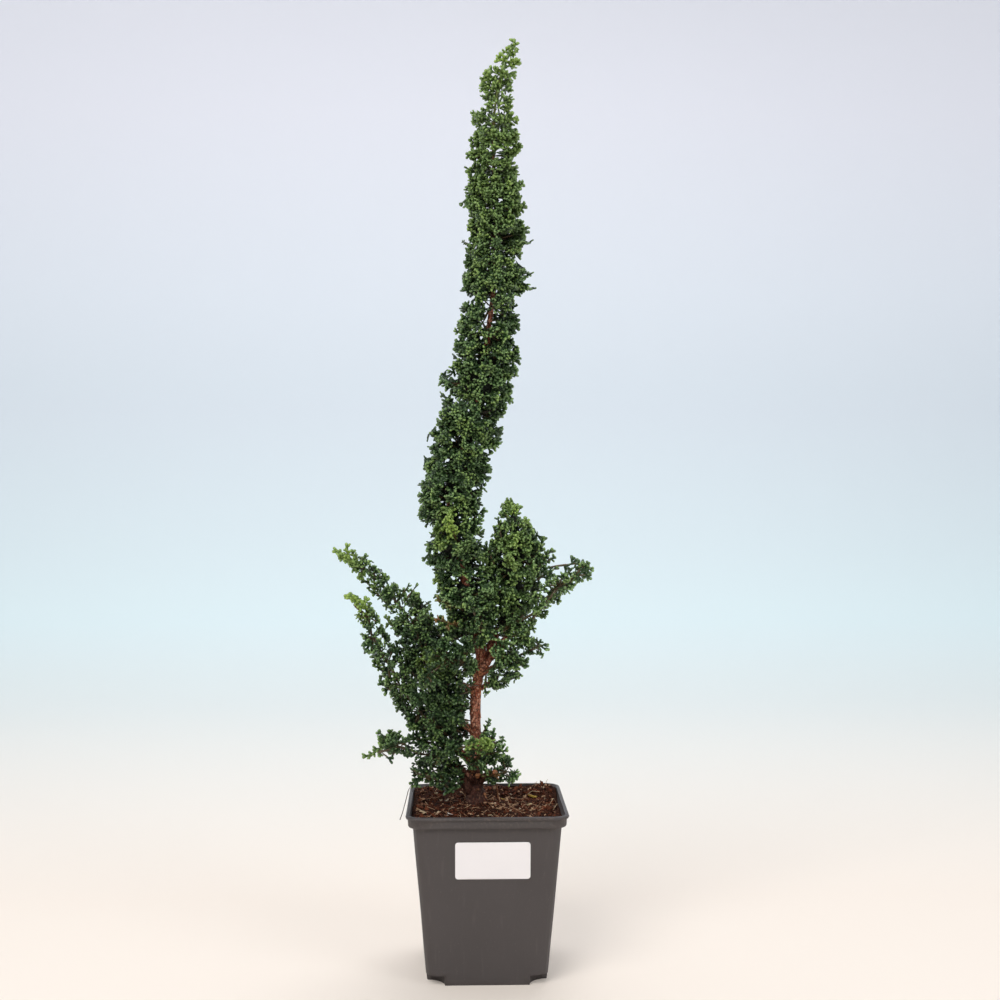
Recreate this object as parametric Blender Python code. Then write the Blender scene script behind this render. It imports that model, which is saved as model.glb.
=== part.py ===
"""A young hinoki cypress grown as a slender leafy column, in its square nursery pot.

The pot stands on the plane z = 0 with its centre line on the Z axis, and its front
wall faces -Y. All sizes below are millimetres; finished meshes are scaled to metres.
"""

import math
import random

import bmesh
import bpy
from mathutils import Matrix, Vector, noise
from mathutils.bvhtree import BVHTree

MM = 0.001
GAP = 0.3

# Pot: outer half widths of the square, from the foot to the lip
POT_HEIGHT = 120.0
FOOT_HALF = 42.3
SHOULDER_HALF = 51.8
SHOULDER_HEIGHT = 112.0
BAND_HALF = 55.0
LIP_HALF = 56.8
LIP_DEPTH = 2.4
WALL = 1.4
FLOOR = 1.6
CORNER_RADIUS = 8.0
CORNER_STEPS = 4
NOTCH_RADIUS = 13.0
NOTCH_HEIGHT = 7.0
NOTCH_SIDES = 20
DRAIN_RADIUS = 2.5
DRAIN_PLACE = 36.0
DRAIN_SPAN = (3.0, 14.0)
DRAIN_SIDES = 10
PAST = 1.0

# Outer profile, foot to lip: (height, half width, what it adds to the corner radius)
POT_PROFILE = [
    (0.0, FOOT_HALF - 0.6, -0.6),
    (0.7, FOOT_HALF, 0.0),
    (SHOULDER_HEIGHT - 0.4, SHOULDER_HALF, 0.0),
    (SHOULDER_HEIGHT, BAND_HALF - 0.5, 1.0),
    (SHOULDER_HEIGHT + 0.7, BAND_HALF, 1.2),
    (POT_HEIGHT - LIP_DEPTH, BAND_HALF + 0.3, 1.4),
    (POT_HEIGHT - LIP_DEPTH + 0.3, LIP_HALF - 0.4, 1.8),
    (POT_HEIGHT - LIP_DEPTH + 1.1, LIP_HALF, 2.0),
    (POT_HEIGHT - 0.3, LIP_HALF - 0.3, 1.9),
    (POT_HEIGHT, LIP_HALF - 1.0, 1.5),
]

# Label: a sticker on the front wall
LABEL_SIZE = (52.0, 26.0)
LABEL_THICKNESS = 0.3
LABEL_CORNER = 2.0
LABEL_CENTRE = (3.6, 89.0)

# Soil: its level and the plain hole that the trunk's foot stands in
SOIL_LEVEL = 115.2
SOIL_ROUGHNESS = 1.3
SOIL_LUMPS = (15.0, 6.0)
SOIL_MOUND = (2.6, 18.0)
SOIL_CLUMP = (3.2, 9.0)
CLUMP_PLACE = (46.0, 40.0)
SOIL_CELLS = 11
FOOT_PLACE = (-8.1, 8.0)
HOLE_RADIUS = 8.8
HOLE_DEPTH = 109.5
HOLE_SIDES = 14

# Wood: each route is a hand-chosen line of points (x, y, z, radius)
TRUNK = [
    (-8.1, 8, 109.8, 8.0), (-8.1, 8, 119.5, 7.9), (-7.9, 8, 126.0, 6.2), (-7.4, 8, 134.0, 5.2),
    (-7.4, 8, 146.0, 4.7), (-7.4, 7, 162.0, 4.2), (-8.1, 6, 183.0, 3.9), (-7.4, 5, 199.0, 3.8),
    (-5.2, 4, 214.0, 3.7), (-3.6, 3, 227.0, 3.5), (-6.5, 2, 243.0, 3.3), (-12.0, 1, 265.0, 3.1),
    (-17.6, 0, 287.0, 2.9), (-22.6, -1, 309.0, 2.8), (-26.6, -1, 331.0, 2.6), (-26.0, 0, 349.0, 2.5),
    (-19.4, 1, 369.0, 2.4), (-12.6, 2, 388.0, 2.3), (-7.0, 2, 406.0, 2.2), (-3.6, 1, 425.0, 2.1),
    (0.2, 0, 447.0, 2.0), (2.4, 0, 467.0, 1.9), (4.8, 0, 485.0, 1.8), (6.8, 1, 513.0, 1.6),
    (7.2, 1, 542.0, 1.4), (5.6, 0, 571.0, 1.2), (5.2, 0, 593.0, 1.1), (5.6, 0, 617.0, 0.95),
    (7.8, 0, 633.0, 0.8), (10.7, 0, 647.0, 0.7),
]
LIMBS = {
    "left_upper": [(-7.4, 5, 196, 2.6), (-13, 4, 200, 2.3), (-19, 2, 204, 2.0)],
    "left_lower": [(-7.4, 8, 143, 2.9), (-14, 5, 149, 2.5), (-20, 3, 156, 2.2)],
    "left_middle": [(-7.4, 7, 165, 2.4), (-12, 7, 170, 2.1), (-17, 8, 175, 1.8)],
    "left_inner": [(-7.4, 8, 151, 2.2), (-11, 11, 155, 1.9), (-15, 13, 160, 1.6)],
    "right_crown": [(-5, 4, 217, 2.6), (2, 5, 227, 2.4), (8, 7, 240, 2.2)],
    "right": [(-6, 4, 211, 2.6), (4, -1, 224, 2.3), (15, -6, 239, 1.9)],
    "front_upper": [(-4, 3, 226, 1.8), (-4, -3, 231, 1.5), (-4.5, -8, 236, 1.3)],
    "right_low": [(-6, 4, 209, 2.2), (0, 1.5, 213, 1.8), (6, 0, 217, 1.5)],
    "right_hanging": [(-7, 4.5, 199, 2.0), (-1, 4, 202, 1.6), (3, 3, 204, 1.3)],
    "front": [(-6.7, 4, 207, 2.4), (-9, -2, 211, 2.1), (-12, -8, 215, 1.8)],
    "back": [(-4.5, 4, 219, 2.4), (-4.8, 9, 224, 2.1), (-5.5, 14, 229, 1.8)],
    "low_left": [(-7.4, 8, 135, 2.2), (-13, 6, 138, 2.0), (-19, 3, 140.5, 1.7)],
    "low_left_end": [(-8.8, 8, 128, 1.8), (-12, 6, 130, 1.6), (-16, 3.5, 132, 1.3)],
    "low_right": [(-5.2, 8, 140, 1.8), (-3, 6.5, 143, 1.5), (0, 4.5, 146, 1.2)],
    "low_right_end": [(-5.9, 8, 131, 1.8), (-3, 6, 133, 1.5), (1, 3.5, 135, 1.2)],
    "low_front": [(-7.4, 8, 137, 1.8), (-8, 3, 140.5, 1.5), (-8.4, -1, 144, 1.2)],
    "low_back": [(-7.4, 8, 138, 2.0), (-7, 13, 141, 1.7), (-6.4, 17, 144, 1.3)],
}
WOOD_STEP = 18.0
TRUNK_SIDES = 2
LIMB_SIDES = 1

# The leafy column round the trunk: its reach at each height (height, reach)
COLUMN_REACH = [
    (232, 16), (243, 26), (300, 27.5), (400, 28), (450, 26.5), (520, 26.5), (560, 23), (600, 19.5),
    (636, 14), (652, 10.5),
]
COLUMN_FOOT = 234.0
COLUMN_CORE = 0.54
COLUMN_FANS = 2
COLUMN_FAN_SHARE = 0.78
SLEEVE_RINGS = 4
SLEEVE_SPLITS = 2
SLEEVE_TRIM = 0.03
BORE_SHARE = 1.12
BORE_SPARE = 0.45
NARROW_REACH = 15.0

# Leafy shoots beyond each limb's wood: route points with the radius of the core
# (x, y, z, radius), the fingers' length at the start and at the tip, the core's
# sides, and how many fans
SHOOTS = {
    "leader": ([(11.7, 0, 650.5, 3.6), (14.5, 0, 658, 3.0), (17, 0, 665, 2.2), (19, 0, 670, 1.4)],
               6.0, 4.0, 6, 3),
    "left_upper": ([(-27, 0, 208, 6.5), (-38, -2, 217, 9), (-50, -4, 233, 9.5), (-58, -6, 251, 8),
                    (-67, -7, 267, 5.5), (-79, -9, 281, 4), (-91, -11, 292, 3), (-101, -12, 299, 1.8)],
                   9.0, 4.5, 6, 4),
    "left_lower": ([(-31, -1, 166, 7), (-44, -6, 179, 8.5), (-55, -10, 196, 8.5), (-65, -13, 214, 7),
                    (-73, -15, 232, 5.5), (-81, -17, 247, 4), (-88, -19, 258, 3), (-94, -20, 264, 1.8)],
                   9.0, 4.5, 6, 4),
    "left_middle": ([(-24, 10, 182, 8), (-31, 14, 195, 10), (-38, 17, 212, 10.5), (-43, 17, 229, 8.5),
                     (-46, 16, 245, 6), (-49, 15, 257, 3)], 10.0, 6.5, 8, 2),
    "left_inner": ([(-19, 18, 163, 7), (-26, 22, 168, 7.5), (-33, 24, 173, 5), (-39, 24, 177, 2.5)],
                   9.0, 6.5, 6, 1),
    "right_crown": ([(12, 8, 250, 7), (17, 8, 262, 13), (21, 7, 278, 16.5), (22.5, 6, 293, 17),
                     (22, 4, 308, 12), (19.5, 3, 322, 5.5)], 10.5, 8.0, 10, 4),
    "right": ([(23, -10, 249, 6.5), (36, -14, 263, 7), (48, -17, 274, 5.5), (59, -19, 281, 3.8),
               (66, -20, 284, 2)], 8.5, 5.0, 6, 3),
    "right_low": ([(13, -2, 222, 6), (22, -6, 230, 7.5), (30, -10, 234, 5.5), (36, -12, 232, 2.4)],
                  8.0, 5.5, 6, 3),
    "right_hanging": ([(8, 2, 206.5, 4.5), (13, 1, 208, 4.5), (19, -2, 205, 2)], 6.0, 5.0, 6, 2),
    "front_upper": ([(-6, -14, 242, 5.5), (-8, -19, 250, 6.5), (-11, -21, 259, 4)], 7.0, 6.0, 6, 1),
    "front": ([(-16, -13, 220, 7), (-23, -20, 229, 8.5), (-31, -27, 230, 7), (-38, -32, 224, 4.5),
               (-43, -35, 217, 2)], 8.5, 5.5, 6, 3),
    "back": ([(-6, 19, 233, 7), (-8, 28, 240, 9), (-10, 37, 247, 6.5), (-11, 44, 251, 3)],
             9.5, 7.0, 8, 3),
    "low_left": ([(-26, 0, 145, 6), (-38, -6, 151, 6), (-50, -10, 159, 5.2), (-61, -13, 162, 4),
                  (-71, -15, 160, 2.8), (-79, -16, 156.5, 1.8)], 7.0, 4.5, 6, 3),
    "low_left_end": ([(-21, 0, 134, 3.8), (-31, -5, 137, 4.2), (-42, -9, 140, 3.6),
                      (-51, -11, 141, 1.8)], 5.5, 4.5, 6, 2),
    "low_right": ([(1, 2, 150, 3.8), (4, -2, 157, 4.4), (8, -6, 164, 2)], 6.0, 5.0, 6, 2),
    "low_right_end": ([(5, 1, 137.5, 3.8), (11, -3, 140, 4), (17, -7, 138, 2)], 5.5, 4.5, 6, 2),
    "low_front": ([(-8, -6, 148, 3.8), (-6, -13, 155, 4.2), (-2, -19, 162, 2)], 5.5, 4.5, 6, 3),
    "low_back": ([(-6, 21, 146, 4), (-4, 28, 150, 4.5), (-2, 36, 154, 2)], 6.0, 5.0, 6, 2),
}
SEED = 11
STEM_RADIUS = 1.0
STEM_GAP = 0.4
NECK_REACH = 2.0
NECK_SHARE = 0.55
FAN_EXTRA = 7.0
CLEAR_HEIGHT = 121.6
CORE_STEP = 8.0
CORE_JITTER = 0.14
RING_JITTER = 1.1
CORE_TRIES = 14
THINNER = 0.94
NEAR = 70.0

# Fingers: blunt flattened lobes drawn out of a core's faces
FINGER_TAPER = (0.52, 0.0)
FINGER_KEEP = 0.94
FINGER_SPARE = 0.5
FINGER_AHEAD = 0.35
FINGER_RISE = 0.10
FINGER_WANDER = 0.16
FINGER_LENGTHS = (0.70, 1.15)
FINGER_TRIES = 4
SHORTER = 0.70

# Fronds: a flat fan of blunt lobes, cut to the rib and arched
FROND_THICKNESS = 0.8
FROND_WIDTH = 0.74
FROND_LENGTH = (12.0, 23.0)
FROND_DROOP = 0.18
RIB_WIDTH = 0.085
FROND_TIP = 0.055
LOBE_ANGLE = math.radians(47)
LOBE_START = (0.16, 0.28)
LOBE_END = 0.86
FROND_TRIES = 40


def clear_scene():
    for item in list(bpy.data.objects):
        bpy.data.objects.remove(item, do_unlink=True)


def make_material(name, colour, roughness):
    material = bpy.data.materials.new(name)
    material.use_nodes = True
    shader = material.node_tree.nodes["Principled BSDF"]
    shader.inputs["Base Color"].default_value = (*colour, 1.0)
    shader.inputs["Roughness"].default_value = roughness
    shader.inputs["Metallic"].default_value = 0.0
    material.diffuse_color = (*colour, 1.0)
    return material


def add_object(name, mesh, collection):
    item = bpy.data.objects.new(name, mesh)
    collection.objects.link(item)
    return item


def mesh_from(bm, name):
    mesh = bpy.data.meshes.new(name)
    bm.to_mesh(mesh)
    bm.free()
    return mesh


def evaluated_mesh(item):
    depsgraph = bpy.context.evaluated_depsgraph_get()
    depsgraph.update()
    return bpy.data.meshes.new_from_object(item.evaluated_get(depsgraph))


def apply_modifiers(item):
    mesh = evaluated_mesh(item)
    old = item.data
    item.modifiers.clear()
    item.data = mesh
    bpy.data.meshes.remove(old)


def boolean(item, operation, others):
    """Joins or cuts with every mesh in a throwaway collection, then removes them."""
    group = bpy.data.collections.new("operands")
    bpy.context.scene.collection.children.link(group)
    for other in others:
        for owner in list(other.users_collection):
            owner.objects.unlink(other)
        group.objects.link(other)
    change = item.modifiers.new(operation.lower(), "BOOLEAN")
    change.operation = operation
    change.operand_type = "COLLECTION"
    change.collection = group
    change.solver = "EXACT"
    apply_modifiers(item)
    for other in others:
        bpy.data.objects.remove(other, do_unlink=True)
    bpy.data.collections.remove(group)


def shade_round(item):
    """Smooth shading on curved walls, with the edges sharper than 40 degrees kept crisp."""
    item.data.shade_smooth()
    item.data.set_sharp_from_angle(angle=math.radians(40))


# Squares with round corners


def square_ring(half, radius, height):
    """Points of a rounded square, anticlockwise from +X."""
    points = []
    for quarter in range(4):
        middle = math.radians(45 + 90 * quarter)
        corner = Vector((math.cos(middle), math.sin(middle))) * (half - radius) * math.sqrt(2)
        for step in range(CORNER_STEPS + 1):
            angle = math.radians(90 * quarter + 90 * step / CORNER_STEPS)
            x = corner.x + radius * math.cos(angle)
            y = corner.y + radius * math.sin(angle)
            points.append(Vector((x, y, height)))
    return points


def loft(name, rings, collection):
    """A closed solid through rings of equal point counts, bottom ring first."""
    bm = bmesh.new()
    loops = [[bm.verts.new(point) for point in ring] for ring in rings]
    for low, high in zip(loops, loops[1:]):
        count = len(low)
        for i in range(count):
            j = (i + 1) % count
            bm.faces.new((low[i], low[j], high[j], high[i]))
    bm.faces.new(list(reversed(loops[0])))
    bm.faces.new(loops[-1])
    return add_object(name, mesh_from(bm, name), collection)


def post(name, place, radius, low, high, sides, collection):
    bm = bmesh.new()
    bmesh.ops.create_cone(
        bm, cap_ends=True, segments=sides, radius1=radius, radius2=radius, depth=high - low)
    bmesh.ops.translate(bm, verts=bm.verts, vec=(place[0], place[1], (low + high) / 2))
    return add_object(name, mesh_from(bm, name), collection)


def wall_half(height):
    share = height / SHOULDER_HEIGHT
    return FOOT_HALF + (SHOULDER_HALF - FOOT_HALF) * share


# Pot


def corner_posts(radius, top, bottom, collection):
    places = [(x * FOOT_HALF, y * FOOT_HALF) for x in (-1, 1) for y in (-1, 1)]
    return [post("corner", place, radius, bottom, top, NOTCH_SIDES, collection) for place in places]


def cavity(inset, top, collection):
    """The pot's inside, drawn in by an inset, with its four raised corner pockets."""
    wall = WALL + inset
    low = FLOOR + inset
    radius = CORNER_RADIUS - WALL - inset
    ledge = SHOULDER_HEIGHT - WALL
    rings = [
        square_ring(wall_half(low) - wall, radius, low),
        square_ring(wall_half(ledge) - wall, radius, ledge),
        square_ring(BAND_HALF - wall, radius + 1.0, SHOULDER_HEIGHT + WALL),
        square_ring(BAND_HALF - wall + 0.5, radius + 1.5, top),
    ]
    inside = loft("cavity", rings, collection)
    pockets = corner_posts(NOTCH_RADIUS + wall, NOTCH_HEIGHT + low, low - PAST, collection)
    boolean(inside, "DIFFERENCE", pockets)
    return inside


def make_pot(parts, cutters):
    rings = [square_ring(half, CORNER_RADIUS + more, height) for height, half, more in POT_PROFILE]
    pot = loft("pot", rings, parts)
    cuts = [cavity(0.0, POT_HEIGHT + PAST, cutters)]
    cuts += corner_posts(NOTCH_RADIUS, NOTCH_HEIGHT, -PAST, cutters)
    for x in (-DRAIN_PLACE, DRAIN_PLACE):
        for y in (-DRAIN_PLACE, DRAIN_PLACE):
            cuts.append(post("drain", (x, y), DRAIN_RADIUS, *DRAIN_SPAN, DRAIN_SIDES, cutters))
    boolean(pot, "DIFFERENCE", cuts)
    shade_round(pot)
    return pot


# Label


def make_label(parts):
    """A thin plate with round corners, laid 0.3 mm off the sloping front wall."""
    curve = bpy.data.curves.new("label", "CURVE")
    curve.dimensions = "2D"
    curve.fill_mode = "BOTH"
    curve.extrude = LABEL_THICKNESS / 2
    outline = curve.splines.new("POLY")
    points = []
    for quarter in range(4):
        middle = math.radians(45 + 90 * quarter)
        sign = (math.copysign(1, math.cos(middle)), math.copysign(1, math.sin(middle)))
        for step in range(CORNER_STEPS + 1):
            angle = math.radians(90 * quarter + 90 * step / CORNER_STEPS)
            x = sign[0] * (LABEL_SIZE[0] / 2 - LABEL_CORNER) + LABEL_CORNER * math.cos(angle)
            y = sign[1] * (LABEL_SIZE[1] / 2 - LABEL_CORNER) + LABEL_CORNER * math.sin(angle)
            points.append((x, y, 0.0, 1.0))
    outline.points.add(len(points) - 1)
    for point, place in zip(outline.points, points):
        point.co = place
    outline.use_cyclic_u = True
    plate = add_object("label_curve", curve, parts)
    mesh = evaluated_mesh(plate)
    bpy.data.objects.remove(plate, do_unlink=True)
    bm = bmesh.new()
    bm.from_mesh(mesh)
    bmesh.ops.remove_doubles(bm, verts=bm.verts, dist=0.0001)
    bmesh.ops.recalc_face_normals(bm, faces=bm.faces)
    slope = math.atan2(SHOULDER_HALF - FOOT_HALF, SHOULDER_HEIGHT)
    stand_off = (GAP + LABEL_THICKNESS / 2) / math.cos(slope)
    centre = Vector((LABEL_CENTRE[0], -wall_half(LABEL_CENTRE[1]) - stand_off, LABEL_CENTRE[1]))
    bm.transform(Matrix.Translation(centre) @ Matrix.Rotation(math.radians(90) + slope, 4, "X"))
    bpy.data.meshes.remove(mesh)
    return add_object("label", mesh_from(bm, "label"), parts)


# Soil


def soil_height(x, y):
    """The lumpy top of the potting mix, with a low mound at the trunk and one clump."""
    height = SOIL_LEVEL
    for share, size in zip((1.0, 0.5), SOIL_LUMPS):
        height += SOIL_ROUGHNESS * share * noise.noise(Vector((x, y, 4.0)) / size)
    for place, (rise, spread) in ((FOOT_PLACE, SOIL_MOUND), (CLUMP_PLACE, SOIL_CLUMP)):
        away = (x - place[0]) ** 2 + (y - place[1]) ** 2
        height += rise * math.exp(-away / spread ** 2)
    return height


def make_soil(parts, cutters):
    soil = cavity(GAP, POT_HEIGHT + PAST, parts)
    soil.name = "soil"
    bm = bmesh.new()
    bmesh.ops.create_grid(bm, x_segments=SOIL_CELLS, y_segments=SOIL_CELLS, size=BAND_HALF + 2.0)
    for vert in bm.verts:
        vert.co.z = soil_height(vert.co.x, vert.co.y)
    lid = bmesh.ops.extrude_face_region(bm, geom=bm.faces[:])
    for vert in lid["geom"]:
        if isinstance(vert, bmesh.types.BMVert):
            vert.co.z = POT_HEIGHT + 2 * PAST
    bmesh.ops.recalc_face_normals(bm, faces=bm.faces)
    top = add_object("soil_top", mesh_from(bm, "soil_top"), cutters)
    hole = post("hole", FOOT_PLACE, HOLE_RADIUS, HOLE_DEPTH, POT_HEIGHT + PAST, HOLE_SIDES, cutters)
    boolean(soil, "DIFFERENCE", [top, hole])
    return soil


# Wood


def smooth_route(points, step=WOOD_STEP):
    """Points read every few millimetres from a smooth curve through the route's own."""
    route = [Vector(point) for point in points]
    route = [2 * route[0] - route[1]] + route + [2 * route[-1] - route[-2]]
    samples = []
    for a, b, c, d in zip(route, route[1:], route[2:], route[3:]):
        count = max(1, round((c - b).xyz.length / step))
        for i in range(count):
            t = i / count
            samples.append(0.5 * (
                2 * b + (c - a) * t + (2 * a - 5 * b + 4 * c - d) * t * t
                + (3 * b - a - 3 * c + d) * t * t * t))
    samples.append(route[-2])
    return samples


def tube(name, samples, resolution, collection):
    """A closed tube along samples (x, y, z, radius)."""
    curve = bpy.data.curves.new(name, "CURVE")
    curve.dimensions = "3D"
    curve.bevel_depth = 1.0
    curve.bevel_resolution = resolution
    curve.use_fill_caps = True
    line = curve.splines.new("POLY")
    line.points.add(len(samples) - 1)
    for point, sample in zip(line.points, samples):
        point.co = (*sample[:3], 1.0)
        point.radius = sample[3]
    guide = add_object(name, curve, collection)
    mesh = evaluated_mesh(guide)
    bpy.data.objects.remove(guide, do_unlink=True)
    bpy.data.curves.remove(curve)
    bm = bmesh.new()
    bm.from_mesh(mesh)
    bmesh.ops.remove_doubles(bm, verts=bm.verts, dist=0.0001)
    bmesh.ops.recalc_face_normals(bm, faces=bm.faces)
    bm.to_mesh(mesh)
    bm.free()
    return add_object(name, mesh, collection)


def make_trunk(parts):
    trunk = tube("trunk", smooth_route(TRUNK), TRUNK_SIDES, parts)
    limbs = [tube(name, smooth_route(route), LIMB_SIDES, parts) for name, route in LIMBS.items()]
    boolean(trunk, "UNION", limbs)
    shade_round(trunk)
    return trunk


# Leafy shoots


def column_reach(height):
    for (z0, r0), (z1, r1) in zip(COLUMN_REACH, COLUMN_REACH[1:]):
        if height <= z1:
            return r0 + (r1 - r0) * max(height - z0, 0) / (z1 - z0)
    return COLUMN_REACH[-1][1]


def across(direction, hint=Vector((0, 0, 1))):
    """Two unit vectors square to a direction."""
    side = direction.cross(hint)
    if side.length < 0.3:
        side = direction.cross(Vector((0, 1, 0)))
    side.normalize()
    return side, side.cross(direction).normalized()


def headings(samples):
    """The direction of a route at each of its samples."""
    last = len(samples) - 1
    return [(samples[min(i + 1, last)] - samples[max(i - 1, 0)]).xyz.normalized() for i in range(last + 1)]


def sleeve_faces(bm, samples, ahead, sides):
    """Adds an open tube along samples to a bmesh and gives its rings."""
    rings = []
    for sample, heading in zip(samples, ahead):
        side, up = across(heading, Vector((0, 1, 0)))
        ring = []
        for k in range(sides):
            turn = 2 * math.pi * k / sides
            out = side * math.cos(turn) + up * math.sin(turn)
            ring.append(bm.verts.new(sample.xyz + out * sample[3]))
        rings.append(ring)
    for low, high in zip(rings, rings[1:]):
        for k in range(sides):
            j = (k + 1) % sides
            bm.faces.new((low[k], low[j], high[j], high[k]))
    return rings


def column_shoots():
    """Rings of sprays round the trunk, each ring an open sleeve that the trunk passes."""
    trunk = [sample for sample in smooth_route(TRUNK) if sample.z > COLUMN_FOOT]
    fine = []
    for low, high in zip(trunk, trunk[1:]):
        fine += [low.lerp(high, i / SLEEVE_SPLITS) for i in range(SLEEVE_SPLITS)]
    fine.append(trunk[-1])
    ahead = headings(fine)
    shoots = []
    for number, start in enumerate(range(0, len(fine) - 1, SLEEVE_RINGS)):
        samples = [sample.copy() for sample in fine[start:start + SLEEVE_RINGS + 1]]
        samples[0] = samples[0].lerp(samples[1], SLEEVE_TRIM)
        samples[-1] = samples[-1].lerp(samples[-2], SLEEVE_TRIM)
        wood = [sample[3] * BORE_SHARE + BORE_SPARE for sample in samples]
        for sample in samples:
            sample[3] = column_reach(sample.z) * COLUMN_CORE
        reach = column_reach(samples[len(samples) // 2].z)
        fingers = (1.0 - COLUMN_CORE) * reach
        shoots.append({
            "name": f"column_shoot_{number + 1:02d}", "samples": samples, "wood": wood,
            "ahead": ahead[start:start + SLEEVE_RINGS + 1],
            "fingers": (fingers, fingers), "sides": 10 if reach > NARROW_REACH else 8,
            "fans": COLUMN_FANS, "fan_length": COLUMN_FAN_SHARE * reach,
        })
    return shoots


def limb_shoots():
    """Leafy shoots that carry each limb on past its wood, slim where they meet it."""
    shoots = []
    for limb, (route, near, far, sides, fans) in SHOOTS.items():
        wood = smooth_route(TRUNK if limb == "leader" else LIMBS[limb])
        ahead = (wood[-1] - wood[-2]).xyz.normalized()
        foot = Vector((*(wood[-1].xyz + ahead * STEM_GAP), STEM_RADIUS))
        neck = Vector((*(wood[-1].xyz + ahead * NECK_REACH), NECK_SHARE * route[0][3]))
        samples = [foot, neck] + smooth_route(route, CORE_STEP)
        shoots.append({
            "name": limb + "_shoot", "samples": samples, "wood": None, "ahead": headings(samples),
            "fingers": (near, far), "sides": sides, "fans": fans, "fan_length": near + FAN_EXTRA,
        })
    return shoots


def core_mesh(shoot, rng):
    """The lumpy core: a closed tube, or a sleeve round the wood on the column."""
    bm = bmesh.new()
    samples = shoot["samples"]
    outer = sleeve_faces(bm, samples, shoot["ahead"], shoot["sides"])
    if shoot["wood"]:
        bore = [Vector((*sample.xyz, radius)) for sample, radius in zip(samples, shoot["wood"])]
        inner = sleeve_faces(bm, bore, shoot["ahead"], shoot["sides"])
        for k in range(shoot["sides"]):
            j = (k + 1) % shoot["sides"]
            bm.faces.new((inner[0][k], inner[0][j], outer[0][j], outer[0][k]))
            bm.faces.new((outer[-1][k], outer[-1][j], inner[-1][j], inner[-1][k]))
    else:
        bm.faces.new(outer[0])
        bm.faces.new(outer[-1])
    first = 0 if shoot["wood"] else 2
    for ring, sample in list(zip(outer, samples))[first:]:
        for vert in ring:
            off = vert.co - sample.xyz
            vert.co += off * rng.uniform(-CORE_JITTER, CORE_JITTER)
            if ring is not outer[0] and ring is not outer[-1]:
                vert.co.z += rng.uniform(-RING_JITTER, RING_JITTER)
    bmesh.ops.recalc_face_normals(bm, faces=bm.faces)
    return mesh_from(bm, shoot["name"])


def frond_place(frond, x, y, off=0.0):
    """A point of the arched frond's sheet, x along its rib and y across it."""
    root, forward, side, normal, length, bend = frond["frame"]
    sag = bend * x * x / length + FROND_DROOP * abs(y)
    return root + forward * x + side * y + normal * (off - sag)


def frond_outline(frond):
    """The cut outline: alternate blunt lobes on both sides, and a blunt tip."""
    length = frond["frame"][4]
    half = 0.5 * FROND_WIDTH * length
    rib = RIB_WIDTH * length
    sides = {}
    for side, lobes, first in zip((-1, 1), frond["lobes"], LOBE_START):
        points = [(0.0, side * rib * 0.6)]
        pitch = (LOBE_END - first) / lobes
        for k in range(lobes):
            start = first + pitch * k
            swell = math.sin(math.pi * min(0.95, 0.30 + 0.75 * (start + 0.3 * pitch)))
            run = (half * swell - rib) / math.sin(LOBE_ANGLE)
            dx, dy = math.cos(LOBE_ANGLE) * run, math.sin(LOBE_ANGLE) * run
            wide = pitch * length
            points.append((start * length + 0.80 * dx, side * (rib + 0.88 * dy)))
            points.append((start * length + 0.62 * wide + dx, side * (rib + dy)))
            points.append(((start + pitch) * length, side * rib))
        sides[side] = points
    tip = FROND_TIP * length
    return sides[1] + [(length, tip), (length, -tip)] + sides[-1][::-1]


def frond_shield(frond):
    """A thin closed envelope of the frond, used to keep fronds clear of each other."""
    length = frond["frame"][4]
    half = 0.5 * FROND_WIDTH * length
    widths = ((0.0, 0.10), (0.30, 0.80), (0.65, 1.02), (0.88, 0.62), (1.03, 0.14))
    off = FROND_THICKNESS / 2 + GAP
    verts = []
    for share, width in widths:
        for y, z in ((-width, -off), (0, -off), (width, -off), (width, off), (0, off), (-width, off)):
            verts.append(frond_place(frond, share * length, y * half, z))
    faces = [(5, 4, 3, 2, 1, 0), tuple(24 + i for i in range(6))]
    for k in range(4):
        for i in range(6):
            j = (i + 1) % 6
            faces.append((6 * k + i, 6 * k + j, 6 * k + 6 + j, 6 * k + 6 + i))
    return BVHTree.FromPolygons(verts, faces), verts


def nearest_sample(shoot, point):
    """The index of the shoot's sample nearest to a point, and its outward direction."""
    samples = shoot["samples"]
    index = min(range(len(samples)), key=lambda i: (samples[i].xyz - point).length_squared)
    ahead = shoot["ahead"][index]
    out = point - samples[index].xyz
    out -= ahead * out.dot(ahead)
    if out.length < 0.01:
        out = across(ahead)[0]
    return index, ahead, out.normalized()


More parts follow.
